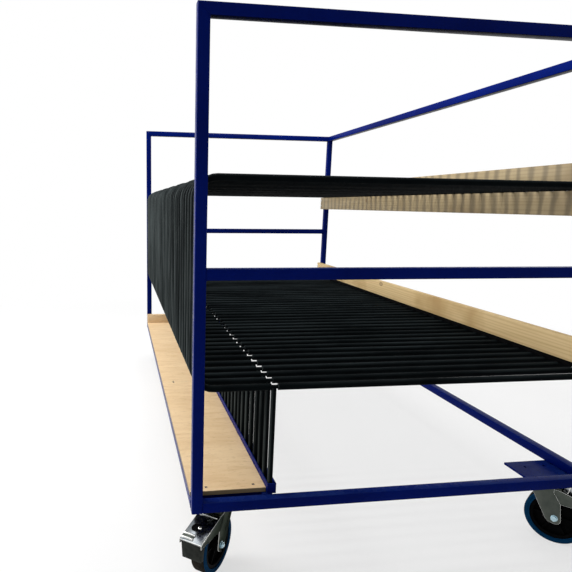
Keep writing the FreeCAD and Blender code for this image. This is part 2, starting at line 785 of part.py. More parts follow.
def make_fork(label):
    """A pressed fork: crown, lower race and two side plates down to the axle lugs."""
    body = new_body(label)
    reach, trail, lug = S["crown_reach"], S["castor_trail"], S["fork_lug_radius"]
    axle_z = S["wheel_radius"]
    lug_side = lug * math.cos(LUG_ANGLE)
    lug_low = axle_z - lug * math.sin(LUG_ANGLE)
    corners = [(-reach, CROWN_TOP), (reach, CROWN_TOP), (reach, CROWN_TOP - S["fork_front_depth"])]
    corners += [(trail + lug_side, lug_low), (trail - lug_side, lug_low)]
    corners += [(-S["fork_waist_reach"], CROWN_TOP - S["fork_waist_depth"])]
    corners += [(-reach, CROWN_TOP - S["fork_rear_depth"])]
    side = sketch_on(body, "XZ_Plane")
    outline(side, corners, {3: (lug, False)})
    pad(body, side, FORK_WIDTH, "Symmetric")
    space = sketch_on(body, "XZ_Plane")
    rectangle(space, -TREAD_REACH, 0, TREAD_REACH, CROWN_BOTTOM)
    pocket(body, space, FORK_GAP, "Symmetric")
    race = sketch_on(body, "XY_Plane", CROWN_TOP)
    circle(race, 0, 0, S["race_radius"])
    pad(body, race, S["lower_race_height"])
    bore = sketch_on(body, "XY_Plane", CROWN_BOTTOM)
    circle(bore, 0, 0, KINGPIN_BORE)
    pocket(body, bore, S["crown_thickness"] + S["lower_race_height"], reverse=True)
    holes = sketch_on(body, "XZ_Plane")
    circle(holes, trail, axle_z, S["axle_radius"] + GAP)
    circle(holes, PIVOT_X, PIVOT_Z, S["pedal_pin_radius"] + S["running_clearance"])
    pocket(body, holes, FORK_WIDTH, "Symmetric")
    return body


def make_axle_bolt(label):
    """The axle with its hexagon head on one side of the fork and its nut on the other."""
    body = new_body(label)
    trail, axle_z, half = S["castor_trail"], S["wheel_radius"], FORK_WIDTH / 2
    shank = sketch_on(body, "XZ_Plane", half)
    circle(shank, trail, axle_z, S["axle_radius"])
    pad(body, shank, FORK_WIDTH + S["axle_head_height"] + S["axle_tail"], reverse=True)
    head = sketch_on(body, "XZ_Plane", half)
    hexagon(head, trail, axle_z, S["axle_head_radius"])
    pad(body, head, S["axle_head_height"])
    nut = sketch_on(body, "XZ_Plane", -half)
    hexagon(nut, trail, axle_z, S["axle_head_radius"])
    pad(body, nut, S["axle_head_height"], reverse=True)
    return body


def make_wheel_core(label):
    """The wheel's hub, web and rim, turned about its own axle."""
    body = new_body(label)
    bore = S["axle_radius"] + S["running_clearance"]
    hub_half = FORK_GAP / 2 - S["hub_gap"]
    web_half = S["core_web_width"] / 2
    rim_half = S["tyre_width"] / 2 - S["core_rim_inset"]
    outer = S["wheel_radius"] - S["tyre_thickness"]
    inner = outer - S["core_rim_thickness"]
    side = [(hub_half, bore), (hub_half, S["hub_radius"]), (web_half, S["hub_radius"])]
    side += [(web_half, inner), (rim_half, inner), (rim_half, outer)]
    profile = sketch_on(body, "YZ_Plane")
    outline(profile, side + [(-y, z) for y, z in reversed(side)])
    turn_profile(body, "Revolution", profile, "H_Axis")
    return body


def make_tyre(label):
    """The solid tyre with its rounded shoulders."""
    body = new_body(label)
    half, edge = S["tyre_width"] / 2, S["tyre_edge_radius"]
    outer = S["wheel_radius"]
    inner = outer - S["tyre_thickness"] + GAP
    corners = [(-half, inner), (half, inner), (half, outer - edge), (half - edge, outer)]
    corners += [(edge - half, outer), (-half, outer - edge)]
    profile = sketch_on(body, "YZ_Plane")
    outline(profile, corners, {2: (edge, True), 4: (edge, True)})
    turn_profile(body, "Revolution", profile, "H_Axis")
    return body


def make_pedal():
    """The pieces of a brake pedal: plate with its rivet, a skirt at each side, pin through the fork."""
    lug, sheet = S["pedal_lug_radius"], S["pedal_plate"]
    front_depth, rear_depth = sheet + S["pedal_skirt_depth"], sheet + S["pedal_skirt_rear_depth"]
    rear_top, front_top = pedal_top(PEDAL_REAR), pedal_top(PEDAL_FRONT)
    plate = new_body("pedal_plate", exported=False)
    side = sketch_on(plate, "XZ_Plane")
    corners = [(PEDAL_REAR, rear_top - sheet), (PEDAL_FRONT, front_top - sheet)]
    outline(side, corners + [(PEDAL_FRONT, front_top), (PEDAL_REAR, rear_top)])
    pad(plate, side, PEDAL_INSIDE, "Symmetric")
    rivet_x = PEDAL_FRONT - S["rivet_setback"]
    rivet = sketch_on(plate, "XY_Plane", pedal_top(rivet_x) - sheet / 2)
    circle(rivet, rivet_x, 0, S["rivet_radius"])
    pad(plate, rivet, sheet / 2 + S["rivet_height"])

    corners = [(PIVOT_X, PIVOT_Z - lug), (PIVOT_X - lug, PIVOT_Z), (PIVOT_X, PIVOT_Z + lug)]
    corners += [(PEDAL_REAR, rear_top), (PEDAL_FRONT, front_top)]
    corners += [(PEDAL_FRONT, front_top - front_depth), (PEDAL_REAR, rear_top - rear_depth)]
    skirts = []
    for name, inner, outward in (("right", PEDAL_INSIDE / 2, False), ("left", -PEDAL_INSIDE / 2, True)):
        skirt = new_body(f"pedal_{name}_skirt", exported=False)
        side = sketch_on(skirt, "XZ_Plane", inner)
        outline(side, corners, {0: (lug, False), 1: (lug, False)})
        pad(skirt, side, S["pedal_skirt"], reverse=outward)
        skirts.append(skirt)

    pin = new_body("pedal_pin", exported=False)
    section = sketch_on(pin, "XZ_Plane")
    circle(section, PIVOT_X, PIVOT_Z, S["pedal_pin_radius"])
    pad(pin, section, PEDAL_INSIDE, "Symmetric")
    return [plate, *skirts, pin]


def make_shoe(label):
    """The brake block under the pedal's front end."""
    body = new_body(label)
    front = PEDAL_FRONT - S["shoe_front_setback"]
    rear = front - S["shoe_top_length"]
    foot_rear = TREAD_REACH + S["shoe_tyre_gap"]
    foot_front = foot_rear + S["shoe_foot_length"]
    foot_z = S["wheel_radius"] + S["shoe_foot_rise"]
    corners = [(foot_rear, foot_z), (foot_front, foot_z)]
    corners += [(front, pedal_top(front) - S["pedal_plate"]), (rear, pedal_top(rear) - S["pedal_plate"])]
    side = sketch_on(body, "XZ_Plane")
    outline(side, corners)
    pad(body, side, PEDAL_INSIDE - S["shoe_side_gap"] * 2, "Symmetric")
    return body


def make_castors():
    """Fork, axle, wheel and brake of the four castors."""
    pedal = make_pedal()
    for name, _, _, turn in CASTORS:
        x, y = KINGPINS[name]
        wheel_x = x + S["castor_trail"] * cosine(turn)
        wheel_y = y + S["castor_trail"] * sine(turn)
        swivelling = [make_fork(f"{name}_fork"), make_axle_bolt(f"{name}_axle_bolt")]
        swivelling.append(make_shoe(f"{name}_brake_shoe"))
        for body in swivelling:
            place(body, x, y, 0, turn)
        copies(f"{name}_brake_pedal", [(piece, (x, y, 0, turn)) for piece in pedal])
        for body in (make_wheel_core(f"{name}_wheel_core"), make_tyre(f"{name}_tyre")):
            place(body, wheel_x, wheel_y, S["wheel_radius"], turn)


def write_parts():
    """Check every object and every piece, then write one file for each piece."""
    DOC.recompute()
    for item in DOC.Objects:
        if "Invalid" in item.State or "Error" in item.State:
            raise RuntimeError(f"{item.Label} failed: {item.State}")
    for label, piece in PARTS.items():
        if piece.Shape.isNull() or not piece.Shape.isValid():
            raise RuntimeError(f"{label} has no valid shape")
    os.makedirs("parts", exist_ok=True)
    for label, piece in PARTS.items():
        piece.Shape.exportStep(f"parts/{label}.step")
    print(f"{len(PARTS)} pieces written")


make_frame()
make_floor()
make_channel()
make_tube_frames()
make_boards()
make_castor_mounts()
make_castors()
write_parts()
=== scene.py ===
"""Looks of the storage trolley: detailed pieces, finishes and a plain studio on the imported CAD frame."""

import json
import logging
import math
from collections.abc import Sequence
from dataclasses import dataclass
from enum import Enum, IntEnum

import bmesh
import bpy
from mathutils import Matrix, Vector


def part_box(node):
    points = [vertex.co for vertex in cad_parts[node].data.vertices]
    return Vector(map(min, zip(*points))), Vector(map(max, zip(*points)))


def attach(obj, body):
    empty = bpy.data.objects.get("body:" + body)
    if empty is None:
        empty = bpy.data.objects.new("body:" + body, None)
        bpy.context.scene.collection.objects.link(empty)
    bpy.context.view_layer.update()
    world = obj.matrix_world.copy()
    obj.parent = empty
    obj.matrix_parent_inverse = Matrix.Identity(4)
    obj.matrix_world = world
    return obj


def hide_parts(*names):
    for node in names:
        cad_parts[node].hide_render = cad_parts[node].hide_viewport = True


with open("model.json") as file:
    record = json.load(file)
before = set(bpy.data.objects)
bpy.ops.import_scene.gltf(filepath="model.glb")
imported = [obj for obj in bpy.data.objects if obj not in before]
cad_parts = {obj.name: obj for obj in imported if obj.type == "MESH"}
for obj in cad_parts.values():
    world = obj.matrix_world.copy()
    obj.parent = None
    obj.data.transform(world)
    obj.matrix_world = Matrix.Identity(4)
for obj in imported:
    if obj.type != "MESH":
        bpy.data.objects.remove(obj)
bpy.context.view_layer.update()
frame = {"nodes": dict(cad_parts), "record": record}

LOG = logging.getLogger("storage_trolley")
MM = 0.001
ROOT = "trolley_frame"
SHARP_ANGLE = math.radians(34)
# A length, in millimetres, that counts as none
NEAR = 1e-3
# The number of a piece's second finish
SECOND = 1
# The range that most of a noise pattern falls in, and the full range of a strength
MIDDLE = (0.30, 0.70)
FULL = (0.0, 1.0)
Pair = tuple[float, float]
Colour = tuple[float, float, float]
Point = tuple[float, float, float]
Box = tuple[Point, Point]
Profile = Sequence[Pair]
Names = tuple[str, ...]
# A cylinder or prism: its radius, its two ends, the number of its sides and the radius of its rims
Drum = tuple[float, float, float, int, float]
Shape = bmesh.types.BMesh
Edge = bmesh.types.BMEdge
Socket = bpy.types.NodeSocket
Material = bpy.types.Material


class Axis(Enum):
    """A direction of the trolley, by the number of its coordinate."""

    X = 0
    Y = 1
    Z = 2

    def vector(self, length: float) -> Vector:
        """Return a vector of this length along the axis."""
        return Vector([length if axis is self else 0.0 for axis in Axis])


class Corner(Enum):
    """A castor's corner: its X and Y, in millimetres, and the turn of its pedal, in degrees."""

    FRONT_LEFT = (-618.0, -1230.5, 231.6)
    FRONT_RIGHT = (618.0, -1230.5, 308.4)
    REAR_LEFT = (-618.0, 1230.5, 51.6)
    REAR_RIGHT = (618.0, 1230.5, 128.4)


class PedalFinish(IntEnum):
    """The material numbers of a brake pedal, by the names of their finishes."""

    ZINC = 0
    BARE_STEEL = 1
    WHEEL_CORE = 2
    DULL_ZINC = 3


class Graph:
    """A node tree of a material or world, with the few kinds of node that the finishes share."""

    def __init__(self, name: str, world: bool = False) -> None:
        """Start a material, or a world, of this name.

        Args:
            name: The name.
            world: Whether it is a world.
        """
        self.owner = (bpy.data.worlds if world else bpy.data.materials).new(name)
        self.owner.use_nodes = True
        self.tree = self.owner.node_tree
        self.shader = self.tree.nodes["Background" if world else "Principled BSDF"]
        coordinates = self.tree.nodes.new("ShaderNodeTexCoord").outputs
        self.place, self.normal = coordinates["Object"], coordinates["Normal"]

    def feed(self, socket: Socket, value: object) -> None:
        """Link a socket to another one, or set its constant.

        Args:
            socket: The input to fill.
            value: An output socket, or a constant of the input's own kind.
        """
        if isinstance(value, Socket):
            self.tree.links.new(value, socket)
        else:
            socket.default_value = value

    def add(self, kind: str, inputs: dict[str | int, object], **settings: object) -> bpy.types.Node:
        """Add a node.

        Args:
            kind: The node's type.
            inputs: What goes into each input, by its name or number.
            settings: The node's own options.

        Returns:
            The new node.
        """
        node = self.tree.nodes.new(kind)
        for name, value in settings.items():
            setattr(node, name, value)
        for name, value in inputs.items():
            self.feed(node.inputs[name], value)
        return node

    def stretched(self, scale: Point) -> Socket:
        """Return the Object coordinates, scaled along each axis."""
        return self.add("ShaderNodeMapping", {"Vector": self.place, "Scale": scale}).outputs[0]

    def noise(self, scale: float, detail: float = 3.0, stretch: Point = (1, 1, 1)) -> Socket:
        """Return a cloudy pattern by its fineness per metre, its finer layers and a factor per axis."""
        inputs = {"Vector": self.stretched(stretch), "Scale": scale, "Detail": detail}
        return self.add("ShaderNodeTexNoise", inputs).outputs[0]

    def ramp(self, value: Socket, stops: list[tuple[float, Colour]]) -> Socket:
        """Return the colour that a ramp gives a value.

        Args:
            value: The ramp's input.
            stops: The place and colour of each stop, in order.

        Returns:
            The colour socket.
        """
        node = self.add("ShaderNodeValToRGB", {"Fac": value})
        elements = node.color_ramp.elements
        while len(elements) < len(stops):
            elements.new(0.5)
        for element, (place, colour) in zip(elements, stops):
            element.position = place
            element.color = (*colour, 1.0)
        return node.outputs["Color"]

    def span(self, value: Socket, source: Pair, target: Pair = FULL) -> Socket:
        """Return a value carried from one range to another, each given as (low, high)."""
        inputs = {"Value": value, 1: source[0], 2: source[1], 3: target[0], 4: target[1]}
        return self.add("ShaderNodeMapRange", inputs).outputs[0]

    def mix(self, factor: object, first: object, second: object) -> Socket:
        """Return a mix of two colours.

        Args:
            factor: The share of the second one.
            first: A colour socket.
            second: A colour socket or a constant colour.

        Returns:
            The mixed colour's socket.
        """
        if isinstance(second, tuple):
            second = (*second, 1.0)
        node = self.add("ShaderNodeMix", {0: factor, 6: first, 7: second}, data_type="RGBA")
        return node.outputs[2]

    def math(self, operation: str, first: object, second: object = 0.0) -> Socket:
        """Return the result of a Math node."""
        return self.add("ShaderNodeMath", {0: first, 1: second}, operation=operation).outputs[0]

    def part_of(self, vector: Socket, axis: Axis) -> Socket:
        """Return one coordinate of a vector socket."""
        return self.add("ShaderNodeSeparateXYZ", {0: vector}).outputs[axis.value]

    def bump(self, height: Socket, strength: float, depth: float) -> None:
        """Roughen the shader's normal by a height pattern, depth being in metres."""
        inputs = {"Height": height, "Strength": strength, "Distance": depth}
        self.feed(self.shader.inputs["Normal"], self.add("ShaderNodeBump", inputs).outputs[0])

    def dress(self, **inputs: object) -> bpy.types.ID:
        """Fill the shader's inputs.

        Args:
            inputs: A socket or a constant for each input, named with _ for a space.

        Returns:
            The material or world.
        """
        for name, value in inputs.items():
            self.feed(self.shader.inputs[name.replace("_", " ")], value)
        return self.owner


@dataclass(frozen=True)
class GlossPaint:
    """Dark blue gloss paint on steel; the faces that look up are lighter, partly dust and partly painted
    light, and the faces that look down are darker with painted shade.
    """

    name: str = "frame_paint"
    deep: Colour = (0.0002, 0.0048, 0.087)
    bright: Colour = (0.0004, 0.0086, 0.138)
    dust_and_light: Colour = (0.030, 0.070, 0.230)
    under: Colour = (0.0004, 0.0010, 0.0060)
    rough: Pair = (0.20, 0.34)
    specular: float = 0.02

    def material(self) -> Material:
        """Return the paint as a node material.

        Returns:
            The new material.
        """
        graph = Graph(self.name)
        tone = graph.ramp(graph.noise(2.6, 4.0), [(0.32, self.deep), (0.70, self.bright)])
        height = graph.part_of(graph.normal, Axis.Z)
        # Painted shade: the faces that look down are darkened towards the under colour.
        painted_shade_below = graph.span(height, (-0.35, -0.80), (0.0, 0.90))
        tone_with_painted_shade = graph.mix(painted_shade_below, tone, self.under)
        # The faces that look up turn lighter blue: dust specks and film, and painted light on the top
        # faces.
        upward = graph.span(height, (0.6, 0.95))
        specks = graph.span(graph.noise(420.0, 2.0), (0.60, 0.74), (0.0, 0.4))
        film = graph.span(graph.noise(9.0, 3.0), (0.40, 0.75), (0.08, 0.34))
        dusty_and_lit = graph.math("MULTIPLY", upward, graph.math("MAXIMUM", specks, film))
        colour = graph.mix(dusty_and_lit, tone_with_painted_shade, self.dust_and_light)
        graph.bump(graph.noise(650.0, 2.0), 0.10, 0.0003)
        rough = graph.span(graph.noise(28.0, 3.0), MIDDLE, self.rough)
        return graph.dress(Base_Color=colour, Roughness=rough, Specular_IOR_Level=self.specular)


@dataclass(frozen=True)
class Plywood:
    """Sanded plywood with a pale face grain across the trolley and dark plies on the edges, their darkness
    partly painted shade.
    """

    name: str = "plywood"
    pale: Colour = (0.840, 0.620, 0.370)
    dark: Colour = (0.680, 0.455, 0.235)
    fleck: Colour = (0.470, 0.290, 0.135)
    # The ply and glue colours of the edges: real plies, darkened further as painted shade.
    edge: Colour = (0.250, 0.190, 0.105)
    glue: Colour = (0.130, 0.090, 0.050)
    ply: float = 0.003
    rough: Pair = (0.52, 0.70)
    specular: float = 0.3

    def material(self) -> Material:
        """Return the plywood as a node material.

        Returns:
            The new material.
        """
        graph = Graph(self.name)
        cloud = graph.noise(5.0, 4.0, (0.6, 1.6, 1.0))
        grain = graph.noise(16.0, 6.0, (0.55, 2.4, 1.0))
        middle = tuple((a + b) / 2 for a, b in zip(self.pale, self.dark))
        tone = graph.ramp(cloud, [(0.25, middle), (0.60, self.pale)])
        streak = graph.span(grain, (0.46, 0.76), (0.0, 0.70))
        grained = graph.mix(streak, tone, self.dark)
        flecks = graph.span(graph.noise(95.0, 3.0, (0.5, 1.8, 1.0)), (0.58, 0.76), (0.0, 0.55))
        face = graph.mix(flecks, grained, self.fleck)
        height = graph.part_of(graph.place, Axis.Z)
        layer = graph.math("FRACT", graph.math("MULTIPLY", height, 0.5 / self.ply))
        layers = graph.ramp(layer, [(0.44, self.edge), (0.50, self.glue), (0.56, self.edge)])
        flat = graph.math("ABSOLUTE", graph.part_of(graph.normal, Axis.Z))
        colour = graph.mix(graph.span(flat, (0.5, 0.8)), layers, face)
        graph.bump(grain, 0.12, 0.0004)
        rough = graph.span(grain, MIDDLE, self.rough)
        return graph.dress(Base_Color=colour, Roughness=rough, Specular_IOR_Level=self.specular)


@dataclass(frozen=True)
class Pine:
    """Planed pine with grain along the trolley and a few knots, and on some boards painted shadows of the
    bars.
    """

    name: str
    pale: Colour = (0.660, 0.490, 0.250)
    dark: Colour = (0.440, 0.285, 0.115)
    knot: Colour = (0.150, 0.070, 0.024)
    bar_shadow: Colour = (0.110, 0.088, 0.055)
    bar_shadow_strength: float = 0.0
    pitch: float = 0.0675
    shift: Point = (0.0, 0.0, 0.0)
    knot_spot: Point | None = None
    knot_radius: float = 0.009
    knot_stretch: Point = (1.0, 0.55, 1.0)
    rough: Pair = (0.50, 0.68)
    specular: float = 0.3

    def painted_bar_shadows(self, graph: Graph) -> Socket:
        """Return the strength of the painted shadows of the bars over a board: dark stripes on its faces
        that look left.

        Args:
            graph: The node tree.

        Returns:
            The strength, 0 to 1.
        """
        inputs = {"Vector": graph.place, "Scale": math.tau / 20 / self.pitch}
        inputs |= {"Distortion": 4.5, "Detail": 2.0, "Detail Scale": 0.8}
        waves = graph.add("ShaderNodeTexWave", inputs, wave_type="BANDS", bands_direction="Y").outputs[1]
        facing = graph.span(graph.part_of(graph.normal, Axis.X), (-0.4, -0.8))
        return graph.math("MULTIPLY", facing, graph.span(waves, (0.35, 0.95), (0.0, self.bar_shadow_strength)))

    def large_knot(self, graph: Graph) -> Socket:
        """Return the strength of the one large knot: a dark ring, longer along the board, round an eye.

        Args:
            graph: The node tree.

        Returns:
            The strength, 0 to 1.
        """
        middle = tuple(place * factor for place, factor in zip(self.knot_spot, self.knot_stretch))
        ends = {0: graph.stretched(self.knot_stretch), 1: middle}
        away = graph.add("ShaderNodeVectorMath", ends, operation="DISTANCE").outputs["Value"]
        off_ring = graph.math("ABSOLUTE", graph.math("SUBTRACT", away, self.knot_radius))
        ring = graph.span(off_ring, (0.001, 0.004), (0.8, 0.0))
        return graph.math("MAXIMUM", ring, graph.span(away, (0.008, 0.010), (0.35, 0.0)))

    def material(self) -> Material:
        """Return the pine as a node material.

        Returns:
            The new material.
        """
        graph = Graph(self.name)
        moved = graph.add("ShaderNodeMapping", {"Vector": graph.place, "Location": self.shift})
        inputs = {"Vector": graph.stretched((14.0, 0.55, 14.0)), "Scale": 1.6}
        inputs |= {"Distortion": 7.0, "Detail": 2.0}
        rings = graph.add("ShaderNodeTexWave", inputs, wave_type="BANDS", bands_direction="Z").outputs[1]
        fibre = graph.noise(70.0, 4.0, (1.0, 0.04, 1.0))
        tone = graph.ramp(graph.noise(3.2, 3.0), [(0.30, self.dark), (0.52, self.pale)])
        ringed = graph.mix(graph.span(rings, (0.55, 1.0), (0.0, 0.42)), tone, self.dark)
        fibred = graph.mix(graph.span(fibre, (0.50, 0.75), (0.0, 0.45)), ringed, self.dark)
        cells = graph.add("ShaderNodeTexVoronoi", {"Vector": moved.outputs[0], "Scale": 4.6}).outputs[0]
        spot = graph.span(cells, (0.035, 0.085), (0.9, 0.0))
        colour = graph.mix(spot, fibred, self.knot)
        if self.knot_spot:
            colour = graph.mix(self.large_knot(graph), colour, self.knot)
        # Painted shadow: dark stripes at the bars' pitch stand in for the shadows of the bars over the
        # board.
        if self.bar_shadow_strength:
            colour = graph.mix(self.painted_bar_shadows(graph), colour, self.bar_shadow)
        graph.bump(fibre, 0.15, 0.0004)
        rough = graph.span(fibre, MIDDLE, self.rough)
        return graph.dress(Base_Color=colour, Roughness=rough, Specular_IOR_Level=self.specular)


@dataclass(frozen=True)
class Mottled:
    """A finish of two close tones with an uneven sheen: plated steel, plastic or rubber."""

    name: str
    first: Colour
    second: Colour
    scale: float
    rough: Pair
    metal: float = 0.0
    specular: float = 0.5
    glance: float = 1.0
    grain: float = 300.0
    bump: float = 0.06

    def material(self) -> Material:
        """Return the finish as a node material.

        Returns:
            The new material.
        """
        graph = Graph(self.name)
        cloud = graph.noise(self.scale, 4.0)
        colour = graph.ramp(cloud, [(0.34, self.first), (0.66, self.second)])
        fine = graph.noise(self.grain, 2.0)
        graph.bump(fine, self.bump, 0.0003)
        rough = graph.span(fine, MIDDLE, self.rough)
        tint = (self.glance, self.glance, self.glance, 1.0)
        graph.dress(Specular_IOR_Level=self.specular, Specular_Tint=tint, Metallic=self.metal)
        return graph.dress(Base_Color=colour, Roughness=rough)


@dataclass(frozen=True)
class CoatedTube:
    """Black coating on bent tube; lighter on top with dust and painted light, and grey on its outer left
    side with scuffs and a painted sheen of the light from that side.
    """

    name: str = "black_tube"
    deep: Colour = (0.0008, 0.0016, 0.0022)
    worn: Colour = (0.0024, 0.0040, 0.0046)
    dust_and_light: Colour = (0.0180, 0.0240, 0.0260)
    scuff_and_sheen: Colour = (0.052, 0.062, 0.062)
    rough: Pair = (0.60, 0.76)
    specular: float = 0.02

    def material(self) -> Material:
        """Return the coating as a node material.

        Returns:
            The new material.
        """
        graph = Graph(self.name)
        tone = graph.ramp(graph.noise(16.0, 4.0), [(0.34, self.deep), (0.66, self.worn)])
        # The faces that look up turn lighter: dust, and painted light on the tops of the bars.
        upward = graph.span(graph.part_of(graph.normal, Axis.Z), (0.20, 0.90))
        film = graph.span(graph.noise(6.0, 4.0, (0.35, 1.0, 1.0)), (0.36, 0.62), (0.10, 0.90))
        dusty_and_lit = graph.mix(graph.math("MULTIPLY", upward, film), tone, self.dust_and_light)
        # The faces that look left turn grey: scuff streaks, and a painted sheen of the light from that
        # side.
        outward = graph.span(graph.part_of(graph.normal, Axis.X), (-0.15, -0.90))
        streaks = graph.span(graph.noise(34.0, 5.0, (1.0, 1.6, 0.10)), (0.36, 0.68), (0.15, 0.90))
        colour = graph.mix(graph.math("MULTIPLY", outward, streaks), dusty_and_lit, self.scuff_and_sheen)
        fine = graph.noise(300.0, 2.0)
        graph.bump(fine, 0.06, 0.0003)
        rough = graph.span(fine, MIDDLE, self.rough)
        return graph.dress(Base_Color=colour, Roughness=rough, Specular_IOR_Level=self.specular)


FINISHES = (
    GlossPaint(),
    Plywood(),
    Pine("pine", knot_spot=(0.670, 0.238, 0.7446)),
    Pine("pale_pine", (0.760, 0.580, 0.360), (0.600, 0.420, 0.230), shift=(0.2, 0.5, 0.7)),
    # Painted shadows of the bars lie on these boards' faces that look left.
    Pine("grey_pine", (0.370, 0.288, 0.162), (0.250, 0.182, 0.094), bar_shadow_strength=0.60, shift=(0.4, 0.9, 0.3)),
    CoatedTube(),
    Mottled("zinc", (0.15, 0.17, 0.19), (0.23, 0.24, 0.245), 22.0, (0.14, 0.26), metal=1.0, grain=180.0),
    Mottled(
        "dull_zinc", (0.056, 0.065, 0.057), (0.098, 0.107, 0.094), 14.0, (0.30, 0.46),
        metal=1.0, glance=0.25,
    ),
    Mottled("blue_zinc", (0.360, 0.520, 0.600), (0.500, 0.660, 0.720), 60.0, (0.20, 0.32), metal=1.0),
    Mottled("bare_steel", (0.56, 0.57, 0.56), (0.74, 0.73, 0.70), 60.0, (0.18, 0.30), metal=1.0),
    Mottled("tyre", (0.0015, 0.030, 0.082), (0.0030, 0.042, 0.112), 30.0, (0.60, 0.76), specular=0.02),
    # The tread's dark brown-grey is partly dirt and partly painted shade.
    Mottled(
        "tread", (0.0090, 0.0080, 0.0065), (0.0200, 0.0175, 0.0140), 55.0, (0.70, 0.88),
        specular=0.03, bump=0.3,
    ),
    Mottled(
        "wheel_core", (0.0012, 0.0012, 0.0014), (0.0030, 0.0030, 0.0032), 40.0, (0.50, 0.65),
        specular=0.02,
    ),
    Mottled(
        "brake_block", (0.0140, 0.0160, 0.0142), (0.0270, 0.0290, 0.0255), 50.0, (0.60, 0.80),
        specular=0.08,
    ),
)
PALETTE: dict[str, Material] = {}


def corners(node: str) -> tuple[Vector, Vector]:
    """Return the lowest and highest corner of a CAD node, in millimetres."""
    low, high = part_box(node)
    return low / MM, high / MM


def put(target: Shape, source: Shape, place: Matrix | None = None, finish: int = 0) -> None:
    """Move a shape into a larger one and free it.

    Args:
        target: The mesh that takes the shape.
        source: The shape.
        place: Where it goes.
        finish: The number of its material, added to the numbers that it has.
    """
    for face in source.faces:
        face.material_index += finish
    loose = bpy.data.meshes.new("loose")
    source.to_mesh(loose)
    source.free()
    if place is not None:
        loose.transform(place)
    target.from_mesh(loose)
    bpy.data.meshes.remove(loose)


def hand_over(
    name: str, shape: Shape, finishes: list[str], nodes: list[str], body: str = ROOT
) -> None:
    """Make a finished shape an object that rides on a body and stands for CAD nodes.

    Args:
        name: The object's name.
        shape: The shape in the part's frame, in millimetres.
        finishes: The finishes of its material numbers.
        nodes: The CAD nodes that it replaces.
        body: The CAD body that carries it.
    """
    bmesh.ops.scale(shape, vec=(MM, MM, MM), verts=shape.verts)
    mesh = bpy.data.meshes.new(name)
    shape.to_mesh(mesh)
    shape.free()
    mesh.polygons.foreach_set("use_smooth", [True] * len(mesh.polygons))
    mesh.set_sharp_from_angle(angle=SHARP_ANGLE)
    for finish in finishes:
        mesh.materials.append(PALETTE[finish])
    piece = bpy.data.objects.new(name, mesh)
    bpy.context.scene.collection.objects.link(piece)
    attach(piece, body)
    if nodes:
        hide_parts(*nodes)
    LOG.info("%s: %d faces on %s", name, len(mesh.polygons), body)


def pick(items: list, kind: type) -> list:
    """Return the elements of one kind among some elements of a mesh."""
    return [item for item in items if isinstance(item, kind)]


def extent(edge: Edge, axis: Axis) -> float:
    """Return how far an edge goes along an axis."""
    return abs(edge.verts[0].co[axis.value] - edge.verts[1].co[axis.value])


def extrude(shape: Shape, face: bmesh.types.BMFace, move: Vector) -> None:
    """Draw a face out of a shape by a way."""
    grown = bmesh.ops.extrude_face_region(shape, geom=[face])["geom"]
    bmesh.ops.translate(shape, vec=move, verts=pick(grown, bmesh.types.BMVert))


def rounded(shape: Shape, edges: list[Edge], size: float, segments: int = 2, finish: int = 0) -> None:
    """Round some edges of a shape.

    Args:
        shape: The shape.
        edges: The edges.
        size: The radius.
        segments: The steps of the rounding.
        finish: The material number of the rounded edges.
    """
    made = bmesh.ops.bevel(
        shape, geom=edges, offset=size, offset_type="OFFSET", affect="EDGES", segments=segments,
        profile=0.5, material=-1, clamp_overlap=True,
    )
    for face in made["faces"]:
        face.material_index = finish


def block(low: Vector, high: Vector, edge: float = 0.0) -> Shape:
    """Return a box between two corners.

    Args:
        low: Its lowest corner.
        high: Its highest corner.
        edge: The radius of its edges.

    Returns:
        The new shape.
    """
    shape = bmesh.new()
    bmesh.ops.create_cube(shape, size=1.0)
    bmesh.ops.scale(shape, vec=high - low, verts=shape.verts)
    bmesh.ops.translate(shape, vec=(low + high) / 2, verts=shape.verts)
    if edge:
        rounded(shape, list(shape.edges), edge)
    return shape


def drum(radius: float, low: float, high: float, sides: int, edge: float = 0.0) -> Shape:
    """Return an upright cylinder or prism about Z.

    Args:
        radius: Its radius over the corners.
        low: The height of its underside.
        high: The height of its top.
        sides: The number of its sides.
        edge: The radius of both rims.

    Returns:
        The new shape.
    """
    shape = bmesh.new()
    sizes = {"radius1": radius, "radius2": radius, "depth": high - low}
    bmesh.ops.create_cone(shape, cap_ends=True, segments=sides, **sizes)
    bmesh.ops.translate(shape, vec=(0, 0, (low + high) / 2), verts=shape.verts)
    if edge:
        rounded(shape, [e for e in shape.edges if extent(e, Axis.Z) < NEAR], edge)
    return shape


def turned(profile: Profile, steps: int = 48) -> Shape:
    """Return a profile turned about Z.

    Args:
        profile: Its corners as (radius, height), from the lower middle round to the upper middle, or
            closed where the last corner is the first one.
        steps: The steps of the full turn.

    Returns:
        The new shape.
    """
    shape = bmesh.new()
    points = [shape.verts.new((radius, 0, height)) for radius, height in profile]
    for first, second in zip(points, points[1:]):
        shape.edges.new((first, second))
    bmesh.ops.spin(
        shape, geom=shape.verts[:] + shape.edges[:], cent=(0, 0, 0), axis=(0, 0, 1), angle=math.tau,
        steps=steps, use_merge=True, use_duplicate=False,
    )
    bmesh.ops.remove_doubles(shape, verts=shape.verts, dist=NEAR)
    bmesh.ops.recalc_face_normals(shape, faces=shape.faces)
    return shape


